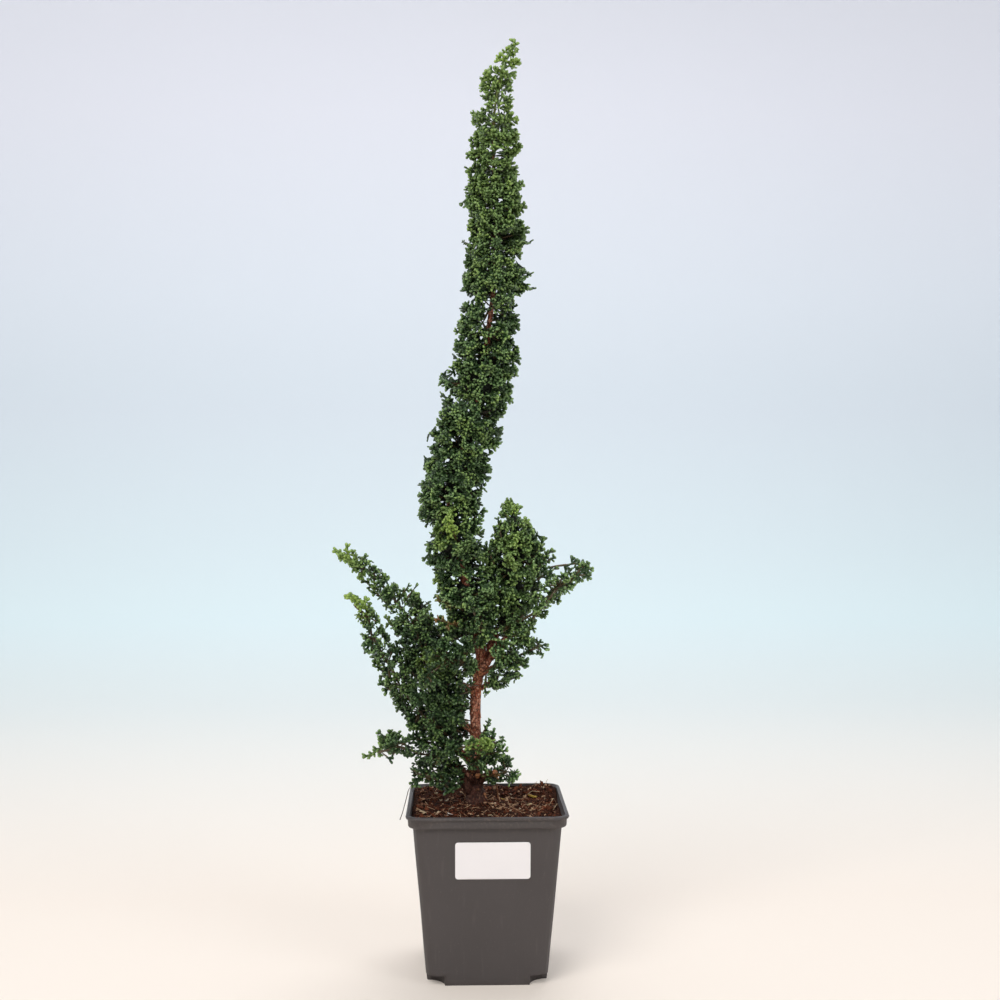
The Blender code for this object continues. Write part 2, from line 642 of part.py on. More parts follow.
def draw_frond(shoot, number, attempt, rng):
    """One try at a fan: rooted inside the core, with its tip past the fingers."""
    samples = shoot["samples"]
    last = len(samples) - 1
    tip = number == 0 and not shoot["wood"]
    spot = last if tip else rng.uniform(0.25 if shoot["wood"] else 2.0, last - 0.2)
    index = min(int(spot), last - 1)
    here = samples[index].lerp(samples[index + 1], spot - index)
    ahead = (samples[index + 1] - samples[index]).xyz.normalized()
    side, up = across(ahead, Vector((0, 1, 0)))
    turn = rng.uniform(0, 2 * math.pi)
    out = side * math.cos(turn) + up * math.sin(turn)
    tilt = math.radians(rng.uniform(0, 15) if tip else rng.uniform(38, 75))
    forward = ahead * math.cos(tilt) + out * math.sin(tilt)
    root = here.xyz - ahead * 2.0 if tip else here.xyz + out * max(here[3] - 1.6, 0.4)
    shrink = 1.0 - 0.010 * attempt
    length = shoot["fan_length"] * rng.uniform(0.85, 1.05)
    length = min(max(length, FROND_LENGTH[0]), FROND_LENGTH[1]) * shrink
    facing = (out + Vector((0, 0, 0.6))).normalized() if not tip else up
    side = forward.cross(facing).normalized()
    normal = side.cross(forward)
    roll = math.radians(rng.uniform(-50, 50))
    side, normal = (
        side * math.cos(roll) + normal * math.sin(roll),
        normal * math.cos(roll) - side * math.sin(roll))
    lobes = (3, 2) if length > 13 else (2, 2)
    return {
        "frame": (root, forward.normalized(), side, normal, length, rng.uniform(-0.05, 0.28)),
        "lobes": lobes if rng.random() < 0.5 else lobes[::-1],
    }


def tree_of(mesh):
    return BVHTree.FromPolygons(
        [vert.co.copy() for vert in mesh.vertices], [tuple(face.vertices) for face in mesh.polygons])


def hits(tree, others):
    return any(tree.overlap(other) for other in others)


def lowest(points):
    return min(point.z for point in points)


def plan_cores(shoots, wood):
    """Thins each core until it clears the wood and the cores before it."""
    placed = [wood]
    for number, shoot in enumerate(shoots):
        for attempt in range(CORE_TRIES):
            mesh = core_mesh(shoot, random.Random(SEED + number))
            tree = tree_of(mesh)
            if lowest([vert.co for vert in mesh.vertices]) > CLEAR_HEIGHT and not hits(tree, placed):
                break
            for sample in shoot["samples"][1:]:
                sample[3] *= THINNER
        shoot["mesh"] = mesh
        shoot["core"] = tree
        shoot["fronds"] = []
        shoot["clear"] = []
        placed.append(tree)


def near_shoots(shoot, shoots):
    """The other shoots close enough to touch this one."""
    close = []
    for other in shoots:
        if other is not shoot:
            apart = min((a.xyz - b.xyz).length for a in shoot["samples"] for b in other["samples"])
            if apart < NEAR:
                close.append(other)
    return close


def plan_fronds(shoots, wood, rng):
    """Gives every shoot its fans in turn, each turned or shortened until it is clear."""
    for number in range(max(shoot["fans"] for shoot in shoots)):
        for shoot in shoots:
            if number >= shoot["fans"]:
                continue
            others = [wood] + shoot["clear"]
            for other in near_shoots(shoot, shoots):
                others += [other["core"]] + other["clear"]
            for attempt in range(FROND_TRIES):
                frond = draw_frond(shoot, number, attempt, rng)
                shield, points = frond_shield(frond)
                if lowest(points) > CLEAR_HEIGHT and not hits(shield, others):
                    shoot["fronds"].append(frond)
                    shoot["clear"].append(shield)
                    break


def finger_tip(corners, heading, length, taper, flat):
    """A face's corners moved out along a heading and drawn in, more across the flat."""
    centre = sum(corners, Vector()) / len(corners)
    spots = []
    for corner in corners:
        off = corner - centre
        thin = flat * off.dot(flat)
        spots.append(centre + (off - thin) * taper[0] + thin * taper[1] + heading * length)
    return spots


def finger_shield(corners, heading, length, flat, spare):
    """A closed envelope of a finger, wider and longer than it by a spare share."""
    wide = (1.05, 1.05) if spare else (0.86, 0.86)
    taper = tuple(share + 0.06 + 0.3 * spare for share in FINGER_TAPER)
    base = finger_tip(corners, heading, 0.3 if spare else 0.9, wide, flat)
    tip = finger_tip(corners, heading, length + spare, taper, flat)
    count = len(corners)
    faces = [tuple(range(count)), tuple(range(count, 2 * count))]
    faces += [(i, (i + 1) % count, count + (i + 1) % count, count + i) for i in range(count)]
    return BVHTree.FromPolygons(base + tip, faces), tip


def draw_finger(bm, face, heading, length, flat):
    """Extrudes a face to a blunt edge, by bringing each pair of its far corners together."""
    made = bmesh.ops.extrude_discrete_faces(bm, faces=[face])["faces"][0]
    far = list(made.verts)
    spots = finger_tip([vert.co.copy() for vert in far], heading, length, FINGER_TAPER, flat)
    for vert, spot in zip(far, spots):
        vert.co = spot
    if len(far) == 4:
        turn = 0 if (spots[1] - spots[0]).length < (spots[2] - spots[1]).length else 1
        first, second = (far[turn], far[turn + 1]), (far[turn + 2], far[(turn + 3) % 4])
        for keep, drop in (first, second):
            keep.co = (keep.co + drop.co) / 2
        bmesh.ops.weld_verts(bm, targetmap={first[1]: first[0], second[1]: second[0]})


def plan_fingers(shoots, wood, rng):
    """Draws fingers out of every outer face of every core, shortened until each is clear."""
    for shoot in shoots:
        others = [wood] + shoot["clear"]
        for other in near_shoots(shoot, shoots):
            others += [other["core"]] + other["clear"]
        bm = bmesh.new()
        bm.from_mesh(shoot["mesh"])
        bm.normal_update()
        own = []
        last = len(shoot["samples"]) - 1
        for face in bm.faces[:]:
            centre = face.calc_center_median()
            index, ahead, out = nearest_sample(shoot, centre)
            cap = len(face.verts) > 4 and index == last
            first = 0 if shoot["wood"] else 1
            if not cap and (face.normal.dot(out) < 0.5 or index < first or rng.random() > FINGER_KEEP):
                continue
            share = index / last
            full = shoot["fingers"][0] + (shoot["fingers"][1] - shoot["fingers"][0]) * share
            wander = Vector([rng.uniform(-FINGER_WANDER, FINGER_WANDER) for axis in range(3)])
            rise = Vector((0, 0, FINGER_RISE))
            heading = ahead if cap else (out + ahead * FINGER_AHEAD + rise + wander).normalized()
            corners = [vert.co.copy() for vert in face.verts]
            edge = (corners[1] - corners[0]) if rng.random() < 0.5 else (corners[2] - corners[1])
            flat = (edge - heading * edge.dot(heading)).normalized()
            length = full * rng.uniform(*FINGER_LENGTHS)
            for attempt in range(FINGER_TRIES):
                shield, tip = finger_shield(corners, heading, length, flat, FINGER_SPARE)
                slim, slim_tip = finger_shield(corners, heading, length, flat, 0.0)
                if lowest(tip) > CLEAR_HEIGHT and not hits(shield, others) and not hits(slim, own):
                    break
                length *= SHORTER
            else:
                continue
            draw_finger(bm, face, heading, length, flat)
            own.append(slim)
        bmesh.ops.triangulate(bm, faces=bm.faces)
        bm.to_mesh(shoot["mesh"])
        shoot["core"] = BVHTree.FromBMesh(bm)
        bm.free()


def frond_object(frond, collection):
    bm = bmesh.new()
    outline = frond_outline(frond)
    face = bm.faces.new([bm.verts.new((x, y, 0.0)) for x, y in outline])
    if face.normal.z < 0:
        face.normal_flip()
    bmesh.ops.triangulate(bm, faces=[face], quad_method="BEAUTY", ngon_method="BEAUTY")
    bm.verts.ensure_lookup_table()
    flat = [vert.co.copy() for vert in bm.verts]
    faces = [[vert.index for vert in face.verts] for face in bm.faces]
    bm.free()
    solid = bmesh.new()
    top = [solid.verts.new(frond_place(frond, x, y, FROND_THICKNESS / 2)) for x, y, z in flat]
    base = [solid.verts.new(frond_place(frond, x, y, -FROND_THICKNESS / 2)) for x, y, z in flat]
    for face in faces:
        solid.faces.new([top[i] for i in face])
        solid.faces.new([base[i] for i in reversed(face)])
    count = len(outline)
    for i in range(count):
        j = (i + 1) % count
        solid.faces.new((top[i], top[j], base[j], base[i]))
    bmesh.ops.recalc_face_normals(solid, faces=solid.faces)
    return add_object("frond", mesh_from(solid, "frond"), collection)


def make_shoot(shoot, parts):
    leafy = add_object(shoot["name"], shoot["mesh"], parts)
    pieces = [frond_object(frond, parts) for frond in shoot["fronds"]]
    if pieces:
        boolean(leafy, "UNION", pieces)
    return leafy


def drop_scraps(item):
    """Keeps the largest body of a joined mesh, its faces joined over edges of two faces."""
    bm = bmesh.new()
    bm.from_mesh(item.data)
    left = set(bm.faces)
    bodies = []
    while left:
        body = [left.pop()]
        for face in body:
            for edge in face.edges:
                if len(edge.link_faces) == 2:
                    fresh = [other for other in edge.link_faces if other in left]
                    left.difference_update(fresh)
                    body.extend(fresh)
        bodies.append(body)
    bodies.sort(key=len)
    for body in bodies[:-1]:
        bmesh.ops.delete(bm, geom=body, context="FACES")
    bm.to_mesh(item.data)
    bm.free()


def main():
    clear_scene()
    parts = bpy.data.collections.new("hinoki_cypress_in_pot")
    cutters = bpy.data.collections.new("cutters")
    for group in (parts, cutters):
        bpy.context.scene.collection.children.link(group)
    plastic = make_material("pot_plastic", (0.085, 0.075, 0.075), 0.45)
    earth = make_material("potting_soil", (0.050, 0.028, 0.020), 0.95)
    paper = make_material("label_paper", (0.90, 0.88, 0.86), 0.6)
    bark = make_material("cypress_bark", (0.175, 0.085, 0.060), 0.85)
    green = make_material("cypress_leaf", (0.035, 0.075, 0.025), 0.55)

    make_pot(parts, cutters).data.materials.append(plastic)
    make_soil(parts, cutters).data.materials.append(earth)
    make_label(parts).data.materials.append(paper)
    trunk = make_trunk(parts)
    trunk.data.materials.append(bark)

    rng = random.Random(SEED)
    shoots = column_shoots() + limb_shoots()
    wood = tree_of(trunk.data)
    plan_cores(shoots, wood)
    plan_fronds(shoots, wood, rng)
    plan_fingers(shoots, wood, rng)
    for shoot in shoots:
        item = make_shoot(shoot, parts)
        drop_scraps(item)
        item.data.materials.clear()
        item.data.materials.append(green)

    for item in parts.objects:
        item.data.transform(Matrix.Scale(MM, 4))


main()
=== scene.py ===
"""A young hinoki cypress in its square nursery pot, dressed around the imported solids."""

import math
import random

import bmesh
import bpy
from mathutils import Matrix, Vector, noise
from mathutils.geometry import intersect_point_line
from mathutils.bvhtree import BVHTree
import numpy as np


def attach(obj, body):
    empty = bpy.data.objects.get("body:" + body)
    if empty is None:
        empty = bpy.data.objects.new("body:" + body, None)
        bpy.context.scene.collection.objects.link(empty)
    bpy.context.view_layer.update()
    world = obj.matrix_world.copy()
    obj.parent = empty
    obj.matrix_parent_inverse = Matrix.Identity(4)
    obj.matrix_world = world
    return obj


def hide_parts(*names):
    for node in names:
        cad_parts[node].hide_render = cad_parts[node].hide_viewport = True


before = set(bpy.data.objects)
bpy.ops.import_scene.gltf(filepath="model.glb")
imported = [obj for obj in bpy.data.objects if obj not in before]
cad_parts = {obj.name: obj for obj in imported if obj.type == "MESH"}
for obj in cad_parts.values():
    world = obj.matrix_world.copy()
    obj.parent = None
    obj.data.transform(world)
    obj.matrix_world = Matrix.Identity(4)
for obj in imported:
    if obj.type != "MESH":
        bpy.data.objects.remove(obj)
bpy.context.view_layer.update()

# Camera. It stands level, a little left of the pot's middle, where the whole plant
# fits the square frame from the leader down to the pot's foot.

VIEW_PLACE = (-0.0192, -0.9735, 0.338)
VIEW_TURN = math.radians(-1.72)
VIEW_LENS = 48.17

view = bpy.data.cameras.new("view")
view.lens = VIEW_LENS
view.sensor_width = 36.0
view.clip_start = 0.01
camera = bpy.data.objects.new("view", view)
camera.location = VIEW_PLACE
camera.rotation_euler = (math.radians(90), 0, VIEW_TURN)
bpy.context.scene.collection.objects.link(camera)
bpy.context.scene.camera = camera
bpy.context.scene.view_settings.view_transform = "Standard"


# Pot. One square pot injection-moulded in dark grey plastic, with thin tapering walls,
# a flared rim band, a rounded lip and a foot whose corners are cut up from the table.
# Thin walls come out of the mould very slightly wavy, so the copy gets more cuts to bend.

MM = 0.001
WELD = 0.001 * MM
POT_CUTS_ACROSS = (-41, -24, 0, 24, 41)
POT_CUTS_UP = (9, 24, 42, 60, 78, 96, 109)
POT_SHARP_FROM = 32
POT_RIM = (106 * MM, 117 * MM)
WALL_WAVE = 0.25 * MM
WAVE_SPAN = 38 * MM
FOOT_FLAT_TO = 1.0 * MM


def merged_copy(node):
    """The node's mesh as a bmesh with its loose triangles joined."""
    bm = bmesh.new()
    bm.from_mesh(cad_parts[node].data)
    bmesh.ops.remove_doubles(bm, verts=bm.verts, dist=WELD)
    return bm


def mesh_of(name, bm):
    """A finished bmesh as a mesh."""
    mesh = bpy.data.meshes.new(name)
    bm.to_mesh(mesh)
    bm.free()
    return mesh


def new_piece(name, bm, material, sharp_from=None):
    """Makes a bmesh a smooth-shaded piece that rides on the pot's body."""
    mesh = mesh_of(name, bm)
    piece = bpy.data.objects.new(name, mesh)
    bpy.context.scene.collection.objects.link(piece)
    mesh.materials.clear()
    mesh.materials.append(material)
    mesh.shade_smooth()
    if sharp_from:
        mesh.set_sharp_from_angle(angle=math.radians(sharp_from))
    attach(piece, "root")
    return piece


class Finish:
    """A Principled material and short calls for the nodes that shape it."""

    def __init__(self, name, roughness=0.5, **sockets):
        self.material = bpy.data.materials.new(name)
        self.material.use_nodes = True
        self.tree = self.material.node_tree
        self.shader = self.tree.nodes["Principled BSDF"]
        self.shader.inputs["Roughness"].default_value = roughness
        for socket, value in sockets.items():
            self.shader.inputs[socket.replace("_", " ")].default_value = value
        self.place = self.node("ShaderNodeTexCoord").outputs["Object"]

    def node(self, kind, inputs=(), **settings):
        made = self.tree.nodes.new(kind)
        for key, value in settings.items():
            setattr(made, key, value)
        for socket, value in dict(inputs).items():
            self.put(value, made.inputs[socket])
        return made

    def put(self, value, socket):
        if isinstance(value, bpy.types.NodeSocket):
            self.tree.links.new(value, socket)
        else:
            socket.default_value = value

    def read(self, name, output="Fac"):
        """The values of an attribute that the mesh carries."""
        return self.node("ShaderNodeAttribute", attribute_name=name).outputs[output]

    def axes(self, vector):
        """The X, Y and Z values of a vector."""
        split = self.node("ShaderNodeSeparateXYZ", {0: vector})
        return [split.outputs[axis] for axis in "XYZ"]

    def noise(self, size, detail=3.0, stretch=(1, 1, 1)):
        """Grey noise whose lumps are about size metres across."""
        turn = self.node("ShaderNodeMapping", {"Vector": self.place, "Scale": stretch})
        return self.node(
            "ShaderNodeTexNoise",
            {"Vector": turn.outputs[0], "Scale": 1.0 / size, "Detail": detail}).outputs["Fac"]

    def cells(self, size, stretch=(1, 1, 1), output="Color"):
        """Random flat values in cells about size metres across."""
        turn = self.node("ShaderNodeMapping", {"Vector": self.place, "Scale": stretch})
        return self.node(
            "ShaderNodeTexVoronoi",
            {"Vector": turn.outputs[0], "Scale": 1.0 / size}).outputs[output]

    def ramp(self, value, low, high):
        """0 below low, 1 above high."""
        return self.node(
            "ShaderNodeMapRange",
            {"Value": value, "From Min": low, "From Max": high}).outputs["Result"]

    def maths(self, operation, a, b=0.0):
        return self.node("ShaderNodeMath", {0: a, 1: b}, operation=operation).outputs[0]

    def times(self, a, b):
        return self.maths("MULTIPLY", a, b)

    def plus(self, a, b):
        return self.maths("ADD", a, b)

    def mix(self, share, a, b):
        made = self.node("ShaderNodeMix", data_type="RGBA")
        self.put(share, made.inputs[0])
        self.put(a if isinstance(a, bpy.types.NodeSocket) else (*a, 1.0), made.inputs[6])
        self.put(b if isinstance(b, bpy.types.NodeSocket) else (*b, 1.0), made.inputs[7])
        return made.outputs[2]

    def over(self, base, mask, strength, colour):
        """A colour laid over the base where the mask is white, at a given strength."""
        return self.mix(self.times(mask, strength), base, colour)

    def colour(self, value):
        self.put(value, self.shader.inputs["Base Color"])

    def roughness(self, value):
        self.put(value, self.shader.inputs["Roughness"])

    def bump(self, value, depth, strength=1.0):
        made = self.node(
            "ShaderNodeBump", {"Height": value, "Distance": depth, "Strength": strength})
        self.put(made.outputs["Normal"], self.shader.inputs["Normal"])


def pot_plastic():
    finish = Finish("pot_plastic", roughness=0.46, Specular_IOR_Level=0.35)
    height = finish.axes(finish.place)[2]
    grain = finish.noise(0.7 * MM, 2.0)
    cloud = finish.noise(30 * MM, 3.0, (1, 1, 0.6))
    base = finish.mix(cloud, (0.058, 0.050, 0.050), (0.078, 0.068, 0.067))
    speck = finish.ramp(finish.noise(1.1 * MM, 4.0), 0.66, 0.74)
    base = finish.over(base, speck, 0.30, (0.18, 0.155, 0.14))
    drips = finish.ramp(finish.noise(3.0 * MM, 3.0, (1, 1, 0.08)), 0.60, 0.80)
    base = finish.over(base, drips, 0.15, (0.16, 0.14, 0.13))
    # Light dust on the rim band and lip; on the lip it is also a painted highlight, the light line
    # along its top edge.
    rim = finish.ramp(height, *POT_RIM)
    dust_and_highlight = finish.times(finish.ramp(finish.noise(2.5 * MM, 4.0), 0.52, 0.72), rim)
    finish.colour(finish.over(base, dust_and_highlight, 0.35, (0.16, 0.13, 0.11)))
    finish.roughness(finish.ramp(cloud, -0.9, 1.9))
    finish.bump(grain, 0.05 * MM, 0.5)
    return finish.material


def make_pot():
    bm = merged_copy("pot")
    cuts = (((1, 0, 0), POT_CUTS_ACROSS), ((0, 1, 0), POT_CUTS_ACROSS), ((0, 0, 1), POT_CUTS_UP))
    for axis, places in cuts:
        for place in places:
            bmesh.ops.bisect_plane(
                bm, geom=bm.verts[:] + bm.edges[:] + bm.faces[:], dist=WELD,
                plane_co=Vector(axis) * place * MM, plane_no=axis)
    for vert in bm.verts:
        if vert.co.z > FOOT_FLAT_TO:
            out = Vector((vert.co.x, vert.co.y, 0)).normalized()
            vert.co += out * noise.noise(vert.co / WAVE_SPAN) * WALL_WAVE
    piece = new_piece("nursery_pot", bm, pot_plastic(), POT_SHARP_FROM)
    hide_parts("pot")


make_pot()


# Label. A plain white sticker with round corners, punched out of coated paper and stuck
# to the front wall. Its face is bare, with a fine fibre.

LABEL_SHARP_FROM = 30


def label_paper():
    finish = Finish("label_paper", roughness=0.38)
    fibre = finish.noise(0.9 * MM, 5.0, (1, 1, 2))
    cloud = finish.noise(14 * MM, 2.0)
    finish.colour(finish.mix(cloud, (0.86, 0.835, 0.85), (0.89, 0.865, 0.88)))
    finish.bump(fibre, 0.04 * MM, 0.35)
    return finish.material


sticker = new_piece(
    "plain_label", merged_copy("label"), label_paper(), LABEL_SHARP_FROM)
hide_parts("label")


# Potting mix. Composted bark chips and peat fill the pot to just under its lip: one fill
# with a crumbly top, chips strewn over it, thin root threads and a few fallen bits.

SOIL_TOP_FROM = 104 * MM
SOIL_CUTS = 5
CRUMB_RISE = 1.1 * MM
CRUMB_SPANS = (2.6 * MM, 6.5 * MM)
LUMP_RISE = 1.3 * MM
LUMP_SPAN = 13 * MM
HEAP = (26 * MM, 44 * MM)
HOLLOW = (30 * MM, 12 * MM)
BACK_RISE = 3.0 * MM
RIGHT_FALL = 1.8 * MM
PEAT_TONE = 0.12
CHIP_COUNT = 640
CRUMB_COUNT = 1700
FIBRE_COUNT = 300
CHIP_SHAPES = 8
CRUMB_SHAPES = 6
FIBRE_SHAPES = 6
CHIP_LENGTHS = (2.0, 2.6, 3.2, 4.4)
CHIP_REACH = 51.5 * MM
FOOT_PLACE = Vector((-8.1, 8.0, 0)) * MM
FOOT_CLEAR = 8.2 * MM


def soil_finish():
    """Dark damp peat, near black in the pits of its grain as painted shade; the tone attribute
    turns single bits red-brown, tan, straw or white.
    """
    finish = Finish("potting_soil", roughness=0.9, Specular_IOR_Level=0.10)
    tone = finish.read("tone")
    grain = finish.noise(1.1 * MM, 5.0)
    speck = finish.ramp(finish.noise(0.7 * MM, 3.0), 0.60, 0.68)
    # The grain's low spots, which the bump sinks, go near black: painted shade in the pits over the
    # peat's own dark brown.
    base = finish.mix(finish.ramp(grain, 0.35, 0.65), (0.005, 0.002, 0.0012), (0.050, 0.015, 0.008))
    base = finish.over(base, speck, 0.6, (0.32, 0.165, 0.095))
    brown = finish.mix(grain, (0.025, 0.007, 0.004), (0.29, 0.090, 0.045))
    tan = finish.mix(grain, (0.30, 0.16, 0.085), (0.76, 0.53, 0.34))
    straw = finish.mix(grain, (0.60, 0.46, 0.28), (0.86, 0.77, 0.62))
    base = finish.mix(finish.ramp(tone, 0.15, 0.60), base, brown)
    base = finish.mix(finish.ramp(tone, 0.62, 0.82), base, tan)
    base = finish.mix(finish.ramp(tone, 0.84, 1.0), base, straw)
    finish.colour(base)
    finish.bump(grain, 0.5 * MM, 0.8)
    return finish.material


def set_tone(mesh, tone):
    """One tone on all points of a mesh, for its material to read."""
    layer = mesh.attributes.get("tone") or mesh.attributes.new("tone", "FLOAT", "POINT")
    layer.data.foreach_set("value", [tone] * len(mesh.vertices))


def add_mesh(bm, one):
    """Moves a small mesh into a bmesh."""
    bm.from_mesh(one)
    bpy.data.meshes.remove(one)


def share_of(value, low, high):
    """0 at low, 1 at high, and no further."""
    return min(1.0, max(0.0, (value - low) / (high - low)))


def heaped(x, y):
    """The mix lies higher along the back wall and lower towards the right wall."""
    back = share_of(y, *HEAP) * BACK_RISE
    right = share_of(x, *HEAP) * share_of(y, *HOLLOW) * RIGHT_FALL
    return back - right + noise.noise(Vector((x, y, 0)) / LUMP_SPAN) * LUMP_RISE


def make_soil(material):
    bm = merged_copy("soil")
    lid = [face for face in bm.faces
           if face.normal.z > 0.4 and face.calc_center_median().z > SOIL_TOP_FROM]
    edges = list(dict.fromkeys(edge for face in lid for edge in face.edges))
    bmesh.ops.subdivide_edges(bm, edges=edges, cuts=SOIL_CUTS, use_grid_fill=True)
    bm.normal_update()
    for vert in bm.verts:
        if vert.normal.z > 0.5 and vert.co.z > SOIL_TOP_FROM:
            rough = sum(noise.noise(vert.co / span) for span in CRUMB_SPANS)
            vert.co.z += CRUMB_RISE * rough + heaped(vert.co.x, vert.co.y)
    piece = new_piece("potting_mix", bm, material)
    set_tone(piece.data, PEAT_TONE)
    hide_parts("soil")
    return piece


def chip_shape(rng, cuts):
    """One splinter of bark: a block with its corners pulled about."""
    bm = bmesh.new()
    bmesh.ops.create_cube(bm, size=1.0)
    if cuts:
        bmesh.ops.subdivide_edges(bm, edges=bm.edges[:], cuts=cuts, use_grid_fill=True)
    for vert in bm.verts:
        vert.co += Vector([rng.uniform(-0.22, 0.22) for axis in range(3)])
        vert.co.z *= 0.75 + 0.5 * abs(vert.co.x)
    bmesh.ops.recalc_face_normals(bm, faces=bm.faces)
    return mesh_of("chip", bm)


def fibre_shape(rng):
    """A thin bent thread of peat or root, lying along X."""
    bm = bmesh.new()
    bmesh.ops.create_cube(bm, size=1.0)
    lengthwise = [edge for edge in bm.edges if abs(edge.verts[0].co.x - edge.verts[1].co.x) > 0.5]
    bmesh.ops.subdivide_edges(bm, edges=lengthwise, cuts=4)
    bend, sway = rng.uniform(-0.5, 0.9), rng.uniform(-0.35, 0.35)
    for vert in bm.verts:
        vert.co.y = vert.co.y * 0.06 + sway * math.sin(3 * vert.co.x)
        vert.co.z = vert.co.z * 0.06 + bend * (0.25 - vert.co.x ** 2)
    return mesh_of("fibre", bm)


def strewn(name, places, shapes, material):
    """Copies of a few shapes at many places, (shape, matrix, tone) each, as one piece."""
    bm = bmesh.new()
    for shape, matrix, tone in places:
        one = shapes[shape].copy()
        one.transform(matrix)
        set_tone(one, tone)
        add_mesh(bm, one)
    new_piece(name, bm, material)


def soil_ground(fill):
    bm = bmesh.new()
    bm.from_mesh(fill.data)
    tree = BVHTree.FromBMesh(bm)
    bm.free()
    return tree


def ground_at(tree, x, y):
    hit = tree.ray_cast(Vector((x, y, 0.2)), Vector((0, 0, -1)))
    return hit[0].z if hit[0] else 0.0


def bit_tone(rng):
    """Most bits of the mix are dark, some red-brown or tan, a few straw or white."""
    draw = rng.random()
    if draw < 0.012:
        return rng.uniform(0.9, 1.0)
    return rng.uniform(0.66, 0.84) if draw < 0.14 else rng.uniform(0.0, 0.6)


def make_chips(ground, material):
    rng = random.Random(5)
    shapes = [chip_shape(rng, 1) for number in range(CHIP_SHAPES)]
    shapes += [chip_shape(rng, 0) for number in range(CRUMB_SHAPES)]
    first_fibre = len(shapes)
    shapes += [fibre_shape(rng) for number in range(FIBRE_SHAPES)]
    places = []
    while len(places) < CHIP_COUNT + CRUMB_COUNT + FIBRE_COUNT:
        x = rng.uniform(-CHIP_REACH, CHIP_REACH)
        y = rng.uniform(-CHIP_REACH, CHIP_REACH)
        if (Vector((x, y, 0)) - FOOT_PLACE).length < FOOT_CLEAR:
            continue
        if len(places) < CHIP_COUNT:
            kind = rng.randrange(0, CHIP_SHAPES)
            long = rng.choice(CHIP_LENGTHS) * rng.uniform(0.8, 1.2)
            size = Vector((long, long * rng.uniform(0.3, 0.6), long * rng.uniform(0.15, 0.35))) * MM
        elif len(places) < CHIP_COUNT + CRUMB_COUNT:
            kind, long = rng.randrange(CHIP_SHAPES, first_fibre), rng.uniform(0.6, 1.9)
            size = Vector((long, long * rng.uniform(0.4, 0.9), long * rng.uniform(0.3, 0.7))) * MM
        else:
            kind, long = rng.randrange(first_fibre, len(shapes)), rng.uniform(4.0, 10.0)
            size = Vector((long, long * 0.7, long * 0.5)) * MM
        if CHIP_REACH - max(abs(x), abs(y)) < size.x * 0.5:
            continue
        turn = (
            Matrix.Rotation(rng.uniform(0, 2 * math.pi), 4, "Z")
            @ Matrix.Rotation(rng.gauss(0, 0.42), 4, "Y")
            @ Matrix.Rotation(rng.gauss(0, 0.5), 4, "X"))
        z = ground_at(ground, x, y) + size.z * rng.uniform(-0.1, 0.45)
        matrix = Matrix.Translation((x, y, z)) @ turn @ Matrix.Diagonal((*size, 1.0))
        pale = kind >= first_fibre and rng.random() < 0.6
        tone = rng.uniform(0.62, 0.86) if pale else bit_tone(rng)
        places.append((kind, matrix, tone))
    strewn("bark_chips", places, shapes, material)


earth = soil_finish()
fill = make_soil(earth)
ground = soil_ground(fill)
make_chips(ground, earth)


# Litter. On the mix lie a yellow fallen scale leaf, a dried sprig, pale root threads and
# white grit; one dry root hair hangs over the lip at the left. All of it fell or grew there.

STRANDS = (
    (((-26, 38, 117), (-22.5, 38, 121), (-19, 38, 124), (-15, 38, 127)), 0.5),
    (((-12, 24, 116), (-10, 22, 121), (-6, 21, 122)), 0.4),
    (((30, 30, 116), (35, 28, 120), (41, 29, 119)), 0.4),
    (((46, 2, 115), (49, 3, 120), (51, 6, 117), (52, 9, 112)), 0.35),
    (((48, -12, 115), (51, -10, 119), (52, -6, 113)), 0.35),
    (((37, 40, 119), (38, 39, 122), (39, 38, 125)), 0.3),
    (((44, 42, 119), (46, 42, 123), (47.5, 41, 126)), 0.3),
    (((12, 17.5, 117), (12.2, 16.8, 114.5), (12, 15, 113.5)), 0.5))
STRAND_TONE = 0.66
HAIR = (
    (-53.5, 0, 126), (-54.6, -1, 131), (-56.6, -1, 127), (-58.6, -1, 119), (-60.8, -1, 111),
    (-62.6, -1, 106))
HAIR_WIDE = 0.6
HAIR_TONE = -1.0
FALLEN = (
    ((35.0, 29, 118), (5.2, 3.4, 1.2), 20, 0.20), ((37.0, 28, 118), (3.6, 2.4, 1.0), 80, 0.25),
    ((33.5, 30, 118), (2.4, 1.4, 0.6), 50, 0.30),
    ((12, 17.5, 117), (3.6, 1.4, 0.6), 35, 0.42), ((13.5, 18, 117), (3.0, 1.2, 0.6), 110, 0.36),
    ((-26, -30, 117), (3.4, 2.6, 2.0), 10, 1.0), ((-44, -26, 117), (2.2, 1.8, 1.4), 70, 0.72),
    ((20, 22, 117), (1.8, 1.4, 1.2), 30, 0.75), ((-37, 33, 117), (1.6, 1.2, 1.0), 50, 0.70),
    ((31, 2, 117), (3.8, 1.6, 0.8), 160, 0.6), ((44, -34, 117), (2.4, 1.4, 1.0), 40, 0.75),
    ((-46, -18, 117), (3.4, 2.0, 1.0), 15, 0.78), ((2, -36, 117), (2.8, 1.3, 0.9), 140, 0.7),
    ((23, 6, 117), (3.6, 0.9, 0.7), 165, 0.86), ((-5, 9, 117), (3.0, 1.0, 0.8), 20, 0.86),
    ((39, -6, 117), (4.2, 1.1, 0.7), 25, 0.72))
FALLEN_LIFT = 0.9 * MM


